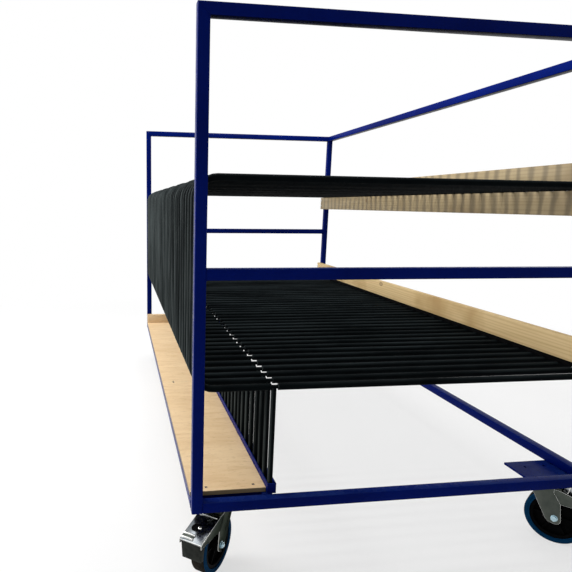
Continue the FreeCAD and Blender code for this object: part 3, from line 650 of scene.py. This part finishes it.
def plate(outline: Profile, low: float, high: float, edge: float = 0.0, finish: int = 0) -> Shape:
    """Return a plate of an outline in XZ, from one Y to another, with its edges rounded.

    Args:
        outline: The corners as (x, z).
        low: The Y of its first face.
        high: The Y of its other face.
        edge: The radius of its edges.
        finish: The material number of its rounded edges.

    Returns:
        The new shape.
    """
    shape = bmesh.new()
    face = shape.faces.new([shape.verts.new((x, low, z)) for x, z in outline])
    extrude(shape, face, Vector((0, high - low, 0)))
    bmesh.ops.recalc_face_normals(shape, faces=shape.faces)
    if edge:
        rounded(shape, list(shape.edges), edge, finish=finish)
    return shape


def screw_head(profile: Profile, drive: Drum) -> Shape:
    """Return a screw head about Z, with its drive's recess as a dark inlay in its second finish: painted
    shade in place of a hollow.

    Args:
        profile: The head's profile, as turned() takes it.
        drive: The inlay, as drum() takes it.

    Returns:
        The new shape.
    """
    shape = turned(profile, steps=20)
    # Painted shade: the drive's recess is a dark inlay, not a hollow.
    put(shape, drum(*drive), finish=SECOND)
    return shape


@dataclass
class WeldedFrame:
    """The frame of square tube: posts, rails and their weld beads."""

    corner_radius: float = 3.2
    wall: float = 2.5
    bore_depth: float = 60.0
    cut_gap: float = 1e-4
    flush_gap: float = 1.0
    bead_radius: float = 3.0
    bead_sides: int = 8
    bead_waist: float = 0.72
    bead_inset: float = 2.5
    bead_step: float = 0.4
    ripple: float = 4.0
    seam_radius: float = 1.2
    seam_inset: float = 4.0
    mitre_seam: Pair = (5.0, 33.0)
    posts: Names = ("front_left_post", "front_right_post", "rear_left_post", "rear_right_post")
    top_rails: Names = ("front_top_rail", "rear_top_rail")
    cross_rails: Names = (
        "front_middle_rail", "rear_middle_rail", "front_bottom_rail", "rear_bottom_rail",
    )
    long_rails: Names = (
        "right_top_rail", "left_bottom_rail", "right_bottom_rail", "inner_bottom_rail",
    )

    def tube(self, node: str, along: Axis) -> Shape:
        """Return a tube as long as a CAD node, with its four long edges rounded.

        Args:
            node: The CAD node.
            along: The tube's direction.

        Returns:
            The new shape.
        """
        shape = block(*corners(node))
        long_edges = [e for e in shape.edges if extent(e, along) > NEAR]
        rounded(shape, long_edges, self.corner_radius, segments=3)
        return shape

    def mitre(self, shape: Shape, corner: Vector, away: Vector) -> None:
        """Cut a tube through a corner of the frame and close the cut.

        Args:
            shape: The tube.
            corner: A point of the cut.
            away: The direction of the piece that comes off.
        """
        cut = {"plane_co": corner, "plane_no": away, "dist": self.cut_gap, "clear_outer": True}
        bmesh.ops.bisect_plane(shape, geom=shape.verts[:] + shape.edges[:] + shape.faces[:], **cut)
        bmesh.ops.holes_fill(shape, edges=[e for e in shape.edges if e.is_boundary], sides=0)
        bmesh.ops.recalc_face_normals(shape, faces=shape.faces)

    def hollow(self, shape: Shape) -> None:
        """Open the lower end of a post.

        Args:
            shape: The post.
        """
        foot = min(shape.faces, key=lambda face: face.calc_center_median().z)
        bmesh.ops.inset_region(shape, faces=[foot], thickness=self.wall, use_even_offset=True)
        extrude(shape, foot, Axis.Z.vector(self.bore_depth))
        bmesh.ops.delete(shape, geom=[foot], context="FACES_ONLY")

    def bead(self, start: Vector, end: Vector, radius: float) -> Shape:
        """Return a rippled weld bead from one point to another.

        Args:
            start: Its first end.
            end: Its other end.
            radius: Its radius.

        Returns:
            The new shape.
        """
        length = (end - start).length
        rings = 2 * max(3, round(length / self.ripple))
        shape = drum(radius, 0.0, length, self.bead_sides)
        sides = [e for e in shape.edges if extent(e, Axis.Z) > NEAR]
        bmesh.ops.subdivide_edges(shape, edges=sides, cuts=rings - 1, use_grid_fill=True)
        narrow = [v for v in shape.verts if round(v.co.z / length * rings) % 2 == 0]
        bmesh.ops.scale(shape, vec=(self.bead_waist, self.bead_waist, 1.0), verts=narrow)
        turn = (end - start).to_track_quat("Z", "Y").to_matrix().to_4x4()
        shape.transform(Matrix.Translation(start) @ turn)
        return shape

    def end_beads(self, beads: Shape, node: str, along: Axis) -> None:
        """Weld both ends of a rail: beads in the inner corners and flat seams where faces are flush.

        Args:
            beads: The mesh that takes the beads.
            node: The rail's CAD node.
            along: The rail's direction.
        """
        low, high = corners(node)
        side = Axis.Y if along is Axis.X else Axis.X
        foot, head = (corner.z for corner in corners(self.posts[0]))
        ends = [
            side.vector(edge[side.value] + inset)
            for edge, inset in ((low, self.bead_inset), (high, -self.bead_inset))
        ]
        tall = Axis.Z.vector(high.z - low.z - 2 * self.seam_inset)
        for end, sign in ((low[along.value], 1), (high[along.value], -1)):
            at = along.vector(end + sign * self.bead_step)
            for height in (low.z, high.z):
                if foot + self.flush_gap < height < head - self.flush_gap:
                    level = at + Axis.Z.vector(height)
                    put(beads, self.bead(level + ends[0], level + ends[1], self.bead_radius))
            for edge in (low, high):
                start = at + side.vector(edge[side.value]) + Axis.Z.vector(low.z + self.seam_inset)
                put(beads, self.bead(start, start + tall, self.seam_radius))

    def mitre_seams(self, beads: Shape, node: str) -> None:
        """Weld the slanting seams at both ends of a top rail.

        Args:
            beads: The mesh that takes the seams.
            node: The rail's CAD node.
        """
        low, high = corners(node)
        for edge, sign in ((low.x, 1), (high.x, -1)):
            for face in (low.y, high.y):
                ends = [Vector((edge + sign * way, face, high.z - way)) for way in self.mitre_seam]
                put(beads, self.bead(*ends, self.seam_radius))

    def build(self) -> None:
        """Make the posts, rails and beads."""
        beads = bmesh.new()
        low, high = corners(self.posts[0])[0], corners(self.posts[1])[1]
        for post in self.posts:
            shape = self.tube(post, Axis.Z)
            edge, sign = (low.x, 1) if "left" in post else (high.x, -1)
            self.mitre(shape, Vector((edge, 0, high.z)), Vector((sign, 0, 1)))
            self.hollow(shape)
            hand_over(post + "_tube", shape, ["frame_paint"], [post])
        for rail in self.top_rails:
            shape = self.tube(rail, Axis.X)
            self.mitre(shape, Vector((low.x, 0, high.z)), Vector((-1, 0, -1)))
            self.mitre(shape, Vector((high.x, 0, high.z)), Vector((1, 0, -1)))
            self.mitre_seams(beads, rail)
            hand_over(rail + "_tube", shape, ["frame_paint"], [rail])
        for rails, along in ((self.cross_rails, Axis.X), (self.long_rails, Axis.Y)):
            for rail in rails:
                shape = self.tube(rail, along)
                self.end_beads(beads, rail, along)
                hand_over(rail + "_tube", shape, ["frame_paint"], [rail])
        hand_over("weld_beads", beads, ["frame_paint"], [])


@dataclass
class FloorStrip:
    """What lies on the plywood floor: the heads of its countersunk screws and the rear batten."""

    screw_x: tuple[float, ...] = (-673.0, -513.0)
    screw_y: tuple[float, ...] = (-1267.5, -200.0, -180.0, 1267.5)
    head: Profile = ((0.0, -4.0), (2.0, -4.0), (5.0, -0.4), (5.0, 0.2), (0.0, 0.2))
    # The drive's dark inlay is painted shade in place of a recess.
    drive: Drum = (2.3, -1.0, 0.35, 6, 0.3)
    batten_edge: float = 1.6

    def build(self) -> None:
        """Make the screws and the batten."""
        screws = bmesh.new()
        top = corners("front_floor_panel")[1].z
        for x in self.screw_x:
            for y in self.screw_y:
                put(screws, screw_head(self.head, self.drive), Matrix.Translation((x, y, top)))
        hand_over("floor_screw_heads", screws, ["bare_steel", "wheel_core"], ["floor_screws"])
        batten = block(*corners("rear_floor_batten"), self.batten_edge)
        hand_over("rear_batten", batten, ["pale_pine"], ["rear_floor_batten"])


@dataclass
class SideBoards:
    """The three wooden boards along the right side, their screws and the dark strip under the lower one,
    which is painted shade in the gap.
    """

    edge: float = 2.2
    strip_edge: float = 1.0
    head: Profile = ((0.0, 0.0), (8.0, 0.0), (8.0, 1.4), (6.56, 3.2), (4.0, 3.85), (0.0, 3.85))
    # The drive's dark inlay is painted shade in place of a recess.
    drive: Drum = (3.0, 1.0, 4.0, 6, 0.3)
    screw_end: float = 13.5
    screw_step: float = 20.0
    boards: tuple[tuple[str, str], ...] = (
        ("lower_board", "pine"), ("upper_board", "grey_pine"), ("top_board", "grey_pine"),
    )

    def build(self) -> None:
        """Make the boards, the screws and the strip."""
        screws = bmesh.new()
        facing = Matrix.Rotation(math.radians(-90), 4, "Y")
        for node, finish in self.boards:
            low, high = corners(node)
            hand_over(node + "_plank", block(low, high, self.edge), [finish], [node])
            middle = (low.z + high.z) / 2
            for y in (low.y + self.screw_end, high.y - self.screw_end):
                for z in (middle - self.screw_step, middle + self.screw_step):
                    place = Matrix.Translation((low.x, y, z)) @ facing
                    put(screws, screw_head(self.head, self.drive), place)
        hand_over("board_screw_heads", screws, ["bare_steel", "wheel_core"], ["board_screws"])
        # Painted shade: a dark strip fills the gap between the lower runs and the lower board.
        strip = block(*corners("lower_board_strip"), self.strip_edge)
        hand_over("board_strip", strip, ["wheel_core"], ["lower_board_strip"])


@dataclass
class BentTubeRow:
    """The row of black bent tube frames: upper run, two bends, upright, lower run and leg."""

    radius: float = 11.0
    wall: float = 1.5
    leg_radius: float = 9.0
    bend: float = 60.0
    right_end: float = 729.0
    upright_x: float = -718.0
    upper_z: float = 1294.5
    lower_z: float = 643.5
    leg_x: float = -460.0
    leg_foot: float = 286.0
    leg_gap: float = 2.0
    bore_depth: float = 90.0
    neck_ends: Pair = (-469.0, -446.0)
    neck_radius: float = 6.4
    neck_step: float = 1.0
    first_y: float = -1290.0
    pitch: float = 67.5
    lean: float = 0.15
    lean_wave: float = 1.1
    sides: int = 16
    bend_steps: int = 7
    nodes: Names = ("front_tube_frames", "middle_tube_frames", "rear_tube_frames")
    count: int = 13

    def grow(self, shape: Shape, ring: list[Edge], move: Vector, scale: float = 1.0) -> list[Edge]:
        """Extrude an open end of the tube.

        Args:
            shape: The tube.
            ring: The edges of its open end.
            move: The way that the new end goes.
            scale: The factor on the new end's radius.

        Returns:
            The edges of the new open end.
        """
        grown = bmesh.ops.extrude_edge_only(shape, edges=ring)["geom"]
        points = pick(grown, bmesh.types.BMVert)
        bmesh.ops.translate(shape, vec=move, verts=points)
        if scale != 1.0:
            middle = sum((point.co for point in points), Vector()) / len(points)
            space = Matrix.Translation(-middle)
            bmesh.ops.scale(shape, vec=(scale, scale, scale), space=space, verts=points)
        return pick(grown, Edge)

    def turn(self, shape: Shape, ring: list[Edge], centre: Vector) -> list[Edge]:
        """Bend the tube on from an open end, a quarter turn about Y.

        Args:
            shape: The tube.
            ring: The edges of its open end.
            centre: The middle of the bend.

        Returns:
            The edges of the new open end.
        """
        points = list(dict.fromkeys(point for edge in ring for point in edge.verts))
        last = bmesh.ops.spin(
            shape, geom=points + ring, cent=centre, axis=(0, 1, 0), angle=math.radians(-90),
            steps=self.bend_steps, use_merge=False, use_duplicate=False,
        )["geom_last"]
        return pick(last, Edge)

    def bent_tube(self) -> Shape:
        """Return one frame at Y = 0.

        Returns:
            The new shape.
        """
        shape = bmesh.new()
        bend_x = self.upright_x + self.bend
        bore = 1.0 - self.wall / self.radius
        spot = Matrix.Translation((self.right_end - self.bore_depth, 0, self.upper_z))
        on_end = spot @ Matrix.Rotation(math.radians(90), 4, "Y")
        bmesh.ops.create_circle(shape, segments=self.sides, radius=self.radius * bore, matrix=on_end)
        ring = list(shape.edges)
        upper_run = ((self.bore_depth, 1.0), (0.0, 1.0 / bore), (bend_x - self.right_end, 1.0))
        for way, scale in upper_run:
            ring = self.grow(shape, ring, Axis.X.vector(way), scale)
        ring = self.turn(shape, ring, Vector((bend_x, 0, self.upper_z - self.bend)))
        ring = self.grow(shape, ring, Axis.Z.vector(self.lower_z - self.upper_z + 2 * self.bend))
        ring = self.turn(shape, ring, Vector((bend_x, 0, self.lower_z + self.bend)))
        start, end = self.neck_ends
        step, thin = self.neck_step, self.neck_radius / self.radius
        lower_run = (
            (start - bend_x, 1.0), (step, thin), (end - start - 2 * step, 1.0), (step, 1.0 / thin),
            (self.right_end - end, 1.0), (0.0, bore), (-self.bore_depth, 1.0),
        )
        for way, scale in lower_run:
            ring = self.grow(shape, ring, Axis.X.vector(way), scale)
        bmesh.ops.recalc_face_normals(shape, faces=shape.faces)
        leg = drum(self.leg_radius, self.leg_foot, self.lower_z - self.leg_gap, self.sides)
        put(shape, leg, Matrix.Translation((self.leg_x, 0, 0)))
        return shape

    def build(self) -> None:
        """Make the row, in the three groups of the CAD nodes, each frame with its own slight lean."""
        master = bpy.data.meshes.new("bent_tube")
        shape = self.bent_tube()
        shape.to_mesh(master)
        shape.free()
        held = Vector((self.right_end, 0, self.upper_z))
        for group, node in enumerate(self.nodes):
            row = bmesh.new()
            for number in range(self.count):
                known = len(row.verts)
                row.from_mesh(master)
                row.verts.ensure_lookup_table()
                place = group * self.count + number
                lean = math.radians(self.lean) * (1 + math.cos(self.lean_wave * place)) / 2
                turn = Matrix.Rotation(lean, 3, "Y")
                bmesh.ops.rotate(row, cent=held, matrix=turn, verts=row.verts[known:])
                along = (0, self.first_y + self.pitch * place, 0)
                bmesh.ops.translate(row, vec=along, verts=row.verts[known:])
            hand_over(node + "_row", row, ["black_tube"], [node])
        bpy.data.meshes.remove(master)


@dataclass
class Castor:
    """One swivel castor with its brake, made in its own frame, pedal along +X, before it is placed."""

    corner: Corner
    trail: float = 52.0
    axle_z: float = 100.0
    tread_radius: float = 100.0
    tyre_bore: float = 82.1
    tyre_half: float = 25.0
    tyre_lip: Profile = ((2.5, 0.0), (4.0, 0.8), (5.5, 0.0))
    shoulder: float = 8.0
    tread_share: float = 0.12
    core_side: Profile = (
        (6.3, 29.5), (24.0, 29.5), (24.0, 7.0), (70.0, 7.0), (70.0, 22.0), (82.0, 22.0),
    )
    rim_edge: float = 1.5
    ribs: int = 6
    rib: Box = ((22.0, -2.5, -18.0), (71.0, 2.5, 18.0))
    small_edge: float = 1.0
    fork_half: float = 35.0
    sheet: float = 4.0
    crown: Box = ((-62.0, -35.0, 214.0), (62.0, 35.0, 220.0))
    fold: float = 4.5
    fork_side: Profile = (
        (-62, 216), (62, 216), (62, 188), (75, 78), (30, 78), (-28, 186), (-62, 200),
    )
    foot_top: float = 80.0
    foot_radius: float = 19.0
    race: Profile = ((0.0, 219.0), (36.0, 219.0), (36.0, 224.7), (34.0, 226.7), (0.0, 226.7))
    bolt: tuple[Drum, ...] = (
        (6.0, -36.0, 46.5, 24, 0.8), (11.0, -42.5, -35.8, 6, 0.9), (11.0, 36.0, 42.5, 6, 0.9),
        (11.8, -36.0, -35.0, 28, 0.3), (11.8, 35.0, 36.2, 28, 0.3),
    )
    pedal_pivot: Pair = (48.0, 207.0)
    pedal_rear: Pair = (66.0, 212.0)
    pedal_front: Pair = (196.5, 180.3636364)
    pedal_half: float = 40.0
    pedal_edge: float = 1.3
    ear: Pair = (8.0, 7.0)
    skirt: float = 14.5
    rear_skirt: float = 51.0
    skirt_wall: float = 3.5
    skirt_cut: float = 3.0
    # The radius of rounded edges that get bright bare steel as a painted highlight.
    bright_edge_radius: float = 0.9
    pin: Drum = (4.0, -39.4, 39.4, 20, 0.6)
    bar_spots: Box = ((171.0, 0.0, 1.6), (187.0, 0.0, 1.6))
    bar: Drum = (4.2, -4.0, 38.5, 14, 1.2)
    tab_x: float = 179.0
    tab: Box = ((-9.0, -38.0, -1.0), (9.0, 3.0, 2.0))
    hole_spot: Pair = (138.0, -12.0)
    hole: Drum = (16.0, -1.0, 0.3, 32, 0.0)
    rivet_spot: Pair = (135.0, 0.0)
    rivet: Profile = ((0.0, 0.0), (6.5, 0.0), (6.5, 0.8), (5.0, 2.4), (2.4, 3.0), (0.0, 3.0))
    crease_spot: Point = (80.0, 0.0, 0.6)
    crease: Drum = (2.2, -34.0, 34.0, 12, 0.8)
    shoe_side: Profile = ((160, 184.5), (194, 176.5), (187, 112), (172, 112))
    shoe_half: float = 35.0
    shoe_edge: float = 1.6

    @property
    def name(self) -> str:
        """The castor's name in the CAD nodes and bodies."""
        return self.corner.name.lower()

    @property
    def place(self) -> Matrix:
        """The way from the castor's own frame to the part's frame."""
        x, y, turn = self.corner.value
        return Matrix.Translation((x, y, 0)) @ Matrix.Rotation(math.radians(turn), 4, "Z")

    @property
    def axle(self) -> Matrix:
        """The way from a shape turned about Z to the castor's own axle, along +Y."""
        spot = Matrix.Translation((self.trail, 0, self.axle_z))
        return spot @ Matrix.Rotation(math.radians(-90), 4, "X")

    def tyre(self) -> Shape:
        """Return the tyre, with the tread as its second finish.

        Returns:
            The new shape.
        """
        half, bore, outer = self.tyre_half, self.tyre_bore, self.tread_radius
        lip = [(bore + out, rise - half) for out, rise in self.tyre_lip]
        profile = [(bore, half), (bore, -half), *lip, (outer, -half), (outer, half)]
        profile += [(radius, -height) for radius, height in reversed(lip)] + [(bore, half)]
        shape = turned(profile, steps=72)
        shoulders = [
            e for e in shape.edges
            if all(v.co.xy.length > outer - NEAR and abs(v.co.z) > half - NEAR for v in e.verts)
        ]
        rounded(shape, shoulders, self.shoulder, segments=4)
        for face in shape.faces:
            if face.calc_center_median().xy.length > outer - self.shoulder * self.tread_share:
                face.material_index = SECOND
        return shape

    def core(self) -> Shape:
        """Return the wheel core: rim, web, hub and ribs.

        Returns:
            The new shape.
        """
        side = list(self.core_side)
        profile = [(radius, -height) for radius, height in side] + side[::-1]
        shape = turned([*profile, profile[0]], steps=64)
        rim = side[-1][1] - NEAR
        rims = [
            e for e in shape.edges
            if extent(e, Axis.Z) < NEAR and abs(e.verts[0].co.z) > rim
            and abs(e.verts[0].co.xy.length - e.verts[1].co.xy.length) < NEAR
        ]
        rounded(shape, rims, self.rim_edge)
        for number in range(self.ribs):
            rib = block(*map(Vector, self.rib), self.small_edge)
            put(shape, rib, Matrix.Rotation(math.tau * number / self.ribs, 4, "Z"))
        return shape

    def fork(self) -> Shape:
        """Return the fork: crown, two side plates and the lower race.

        Returns:
            The new shape.
        """
        shape = block(*map(Vector, self.crown))
        top = self.crown[1][2] - NEAR
        folds = [e for e in shape.edges if extent(e, Axis.X) > NEAR and e.verts[0].co.z > top]
        rounded(shape, folds, self.fold, segments=4)
        half, sheet = self.fork_half, self.sheet
        for low, high in ((-half, sheet - half), (half - sheet, half)):
            side = plate(self.fork_side, low, high)
            across = [e for e in side.edges if extent(e, Axis.Y) > NEAR]
            feet = [e for e in across if e.verts[0].co.z < self.foot_top]
            rounded(side, feet, self.foot_radius, segments=7)
            # Painted highlight: the rounded outline edges of the side plates are bright bare steel.
            outlines = [e for e in side.edges if extent(e, Axis.Y) < NEAR]
            rounded(side, outlines, self.bright_edge_radius, finish=SECOND)
            put(shape, side)
        put(shape, turned(self.race))
        return shape

    def axle_bolt(self) -> Shape:
        """Return the axle bolt: shank, hex head, nut, washers and the bolt's tail.

        Returns:
            The new shape.
        """
        shape = bmesh.new()
        for part in self.bolt:
            put(shape, drum(*part))
        return shape

    def pedal(self) -> Shape:
        """Return the pedal: sloping plate, skirts, pin, two bars on a tab, a dark disc as painted shade in
        place of a hole, rivet and crease.

        Returns:
            The new shape.
        """
        (rear_x, rear_z), (front_x, front_z) = self.pedal_rear, self.pedal_front
        pivot_x, pivot_z = self.pedal_pivot
        half, wall, low_z = self.pedal_half, self.skirt_wall, rear_z - self.rear_skirt
        slope = (front_z - rear_z) / (front_x - rear_x)
        tilt = Matrix.Rotation(-math.atan(slope), 4, "Y")
        lying = Matrix.Rotation(math.radians(90), 4, "X")

        def on_top(x: float, y: float = 0.0, rise: float = 0.0) -> Matrix:
            """Return the way to a point on or over the plate's upper face, turned with its slope."""
            spot = Matrix.Translation((x, y, rear_z + slope * (x - rear_x)))
            return spot @ tilt @ Matrix.Translation((0, 0, rise))

        top = [(rear_x, rear_z), (front_x, front_z)]
        under = [(x, z - self.sheet) for x, z in reversed(top)]
        # Painted highlight: the plate's rounded edges are bright bare steel.
        shape = plate([*top, *under], -half, half, self.pedal_edge, PedalFinish.BARE_STEEL)
        ear_x, ear_half = pivot_x - self.ear[0], self.ear[1]
        outline = [(ear_x, pivot_z - ear_half), (ear_x, pivot_z + ear_half), *top]
        outline += [(front_x, front_z - self.skirt), (rear_x, low_z)]
        outline.append((rear_x - self.skirt_cut, low_z + self.skirt_cut))
        # Painted highlight: the skirts' rounded edges are bright bare steel.
        for low, high in ((-half, wall - half), (half - wall, half)):
            skirt = plate(outline, low, high, self.bright_edge_radius, PedalFinish.BARE_STEEL)
            for face in skirt.faces:
                if face.material_index != PedalFinish.BARE_STEEL:
                    face.material_index = PedalFinish.DULL_ZINC
            put(shape, skirt)
        put(shape, drum(*self.pin), Matrix.Translation((pivot_x, 0, pivot_z)) @ lying)
        for spot in self.bar_spots:
            put(shape, drum(*self.bar), on_top(*spot) @ lying, PedalFinish.BARE_STEEL)
        tab = block(*map(Vector, self.tab), self.small_edge)
        put(shape, tab, on_top(self.tab_x), PedalFinish.DULL_ZINC)
        # Painted shade: a dark disc on the plate stands in for a hole.
        put(shape, drum(*self.hole), on_top(*self.hole_spot), PedalFinish.WHEEL_CORE)
        put(shape, turned(self.rivet, steps=24), on_top(*self.rivet_spot), PedalFinish.BARE_STEEL)
        put(shape, drum(*self.crease), on_top(*self.crease_spot) @ lying, PedalFinish.BARE_STEEL)
        return shape

    def shoe(self) -> Shape:
        """Return the brake shoe under the pedal."""
        return plate(self.shoe_side, -self.shoe_half, self.shoe_half, self.shoe_edge)

    def build(self) -> None:
        """Make the castor's pieces and put each on its body."""
        plated = [finish.name.lower() for finish in PedalFinish]
        jobs = (
            ("tyre", self.tyre(), self.axle, ["tyre", "tread"], "tyre", "wheel"),
            ("wheel_core", self.core(), self.axle, ["wheel_core"], "wheel_core", "wheel"),
            ("fork", self.fork(), Matrix(), ["dull_zinc", "bare_steel"], "zinc", "castor"),
            ("axle_bolt", self.axle_bolt(), self.axle, ["blue_zinc"], "zinc", "castor"),
            ("brake_pedal", self.pedal(), Matrix(), plated, "zinc", "brake"),
            ("brake_shoe", self.shoe(), Matrix(), ["brake_block"], "brake_block", "brake"),
        )
        for kind, shape, local, finishes, slot, body in jobs:
            shape.transform(self.place @ local)
            node = f"{self.name}_{kind}"
            hand_over(node + "_piece", shape, finishes, [node], f"{self.name}_{body}")


@dataclass
class CastorBolts:
    """The hex bolts that hold the castors' top plates."""

    offset_x: float = 40.0
    offset_y: float = 52.5
    head: Drum = (9.8, 228.6, 234.0, 6, 0.7)
    washer: Drum = (11.0, 233.8, 235.0, 24, 0.2)

    def build(self) -> None:
        """Make the bolt heads with their washers."""
        heads = bmesh.new()
        for corner in Corner:
            corner_x, corner_y, _ = corner.value
            for x in (corner_x - self.offset_x, corner_x + self.offset_x):
                for y in (corner_y - self.offset_y, corner_y + self.offset_y):
                    for part in (self.head, self.washer):
                        put(heads, drum(*part), Matrix.Translation((x, y, 0)))
        hand_over("castor_bolt_heads", heads, ["bare_steel"], ["castor_bolts"])


@dataclass(frozen=True)
class Lamp:
    """A square lamp: its place and aim, its side in metres and its power in watts."""

    name: str
    spot: Point
    aim: Point
    size: float
    power: float

    def hang(self) -> None:
        """Hang the lamp in the scene."""
        light = bpy.data.lights.new(self.name, "AREA")
        light.size = self.size
        light.energy = self.power
        holder = bpy.data.objects.new(self.name, light)
        holder.location = self.spot
        way = Vector(self.aim) - Vector(self.spot)
        holder.rotation_euler = way.to_track_quat("-Z", "Y").to_euler()
        bpy.context.scene.collection.objects.link(holder)


@dataclass
class Studio:
    """The pale floor, the soft lamps, the white surroundings and the camera."""

    sensor: float = 36.0
    lens: float = 33.73
    shift: Pair = (0.1576, 0.0355)
    spot: Point = (-0.9483, -2.8784, 1.2177)
    right: Point = (0.989899, -0.141244, 0.012293)
    back: Point = (-0.141045, -0.972276, 0.186510)
    floor_size: float = 60.0
    floor_tones: tuple[Colour, Colour] = ((0.86, 0.86, 0.86), (0.89, 0.89, 0.89))
    floor_fade: Pair = (2.0, 4.2)
    floor_white: Pair = (0.64, 1.0)
    ambient: float = 0.32
    lamps: tuple[Lamp, ...] = (
        Lamp("window", (-5.2, 0.9, 2.7), (0.0, 0.0, 0.8), 3.2, 320.0),
        Lamp("ceiling", (-0.4, 0.6, 5.2), (0.0, 0.0, 0.0), 4.5, 165.0),
        Lamp("rear_fill", (0.3, -0.4, 2.9), (0.2, 1.34, 1.5), 0.8, 22.0),
    )

    def background_rays(self, graph: Graph) -> Socket:
        """Tell the rays that show the background from the others.

        Args:
            graph: The node tree.

        Returns:
            1 for rays from the camera, reflected ones and those through clear pieces, or else 0.
        """
        rays = graph.add("ShaderNodeLightPath", {}).outputs
        seen = graph.math("MAXIMUM", rays["Is Camera Ray"], rays["Is Glossy Ray"])
        return graph.math("MAXIMUM", seen, rays["Is Transmission Ray"])

    def floor(self) -> None:
        """Lay the floor, plain and pale near the trolley and white further out."""
        shape = bmesh.new()
        bmesh.ops.create_grid(shape, x_segments=1, y_segments=1, size=self.floor_size)
        mesh = bpy.data.meshes.new("floor")
        shape.to_mesh(mesh)
        shape.free()
        graph = Graph("pale_floor")
        tone = graph.ramp(graph.noise(1.5), list(zip(MIDDLE, self.floor_tones)))
        material = graph.dress(Base_Color=tone, Roughness=0.9, Specular_IOR_Level=0.0)
        away = graph.add("ShaderNodeVectorMath", {0: graph.place}, operation="LENGTH").outputs["Value"]
        far = graph.span(away, self.floor_fade, self.floor_white)
        white = graph.add("ShaderNodeEmission", {"Strength": 1.0})
        fade = graph.math("MULTIPLY", far, self.background_rays(graph))
        shaders = {0: fade, 1: graph.shader.outputs[0], 2: white.outputs[0]}
        mixed = graph.add("ShaderNodeMixShader", shaders)
        graph.feed(graph.tree.nodes["Material Output"].inputs["Surface"], mixed.outputs[0])
        mesh.materials.append(material)
        floor = bpy.data.objects.new("floor", mesh)
        bpy.context.scene.collection.objects.link(floor)

    def surroundings(self) -> None:
        """Make the world white to the camera and in reflections, and a soft grey light elsewhere."""
        graph = Graph("studio", world=True)
        strength = graph.span(self.background_rays(graph), FULL, (self.ambient, 1.0))
        bpy.context.scene.world = graph.dress(Color=(1.0, 1.0, 1.0, 1.0), Strength=strength)

    def camera(self) -> None:
        """Set the camera where the photograph was taken from."""
        data = bpy.data.cameras.new("camera")
        data.sensor_width = self.sensor
        data.lens = self.lens
        data.shift_x, data.shift_y = self.shift
        right, back = Vector(self.right), Vector(self.back)
        turn = Matrix((right, back.cross(right), back)).transposed()
        camera = bpy.data.objects.new("camera", data)
        camera.matrix_world = Matrix.Translation(self.spot) @ turn.to_4x4()
        bpy.context.scene.collection.objects.link(camera)
        bpy.context.scene.camera = camera

    def build(self) -> None:
        """Make the whole studio."""
        self.floor()
        self.surroundings()
        for lamp in self.lamps:
            lamp.hang()
        self.camera()
        bpy.context.scene.view_settings.view_transform = "Standard"


def dress_cad_nodes() -> None:
    """Give the CAD nodes that stay in view the finish of their slot."""
    slots = {entry["node"]: entry["material_slot"] for entry in frame["record"]["subparts"]}
    for name, node in frame["nodes"].items():
        node.data.materials.clear()
        node.data.materials.append(PALETTE[slots[name]])


def main() -> None:
    """Build the finishes, the pieces and the studio."""
    logging.basicConfig(level=logging.INFO, format="%(name)s %(message)s")
    PALETTE.update({finish.name: finish.material() for finish in FINISHES})
    dress_cad_nodes()
    WeldedFrame().build()
    FloorStrip().build()
    SideBoards().build()
    BentTubeRow().build()
    CastorBolts().build()
    for corner in Corner:
        Castor(corner).build()
    Studio().build()


if __name__ == "__main__":
    main()
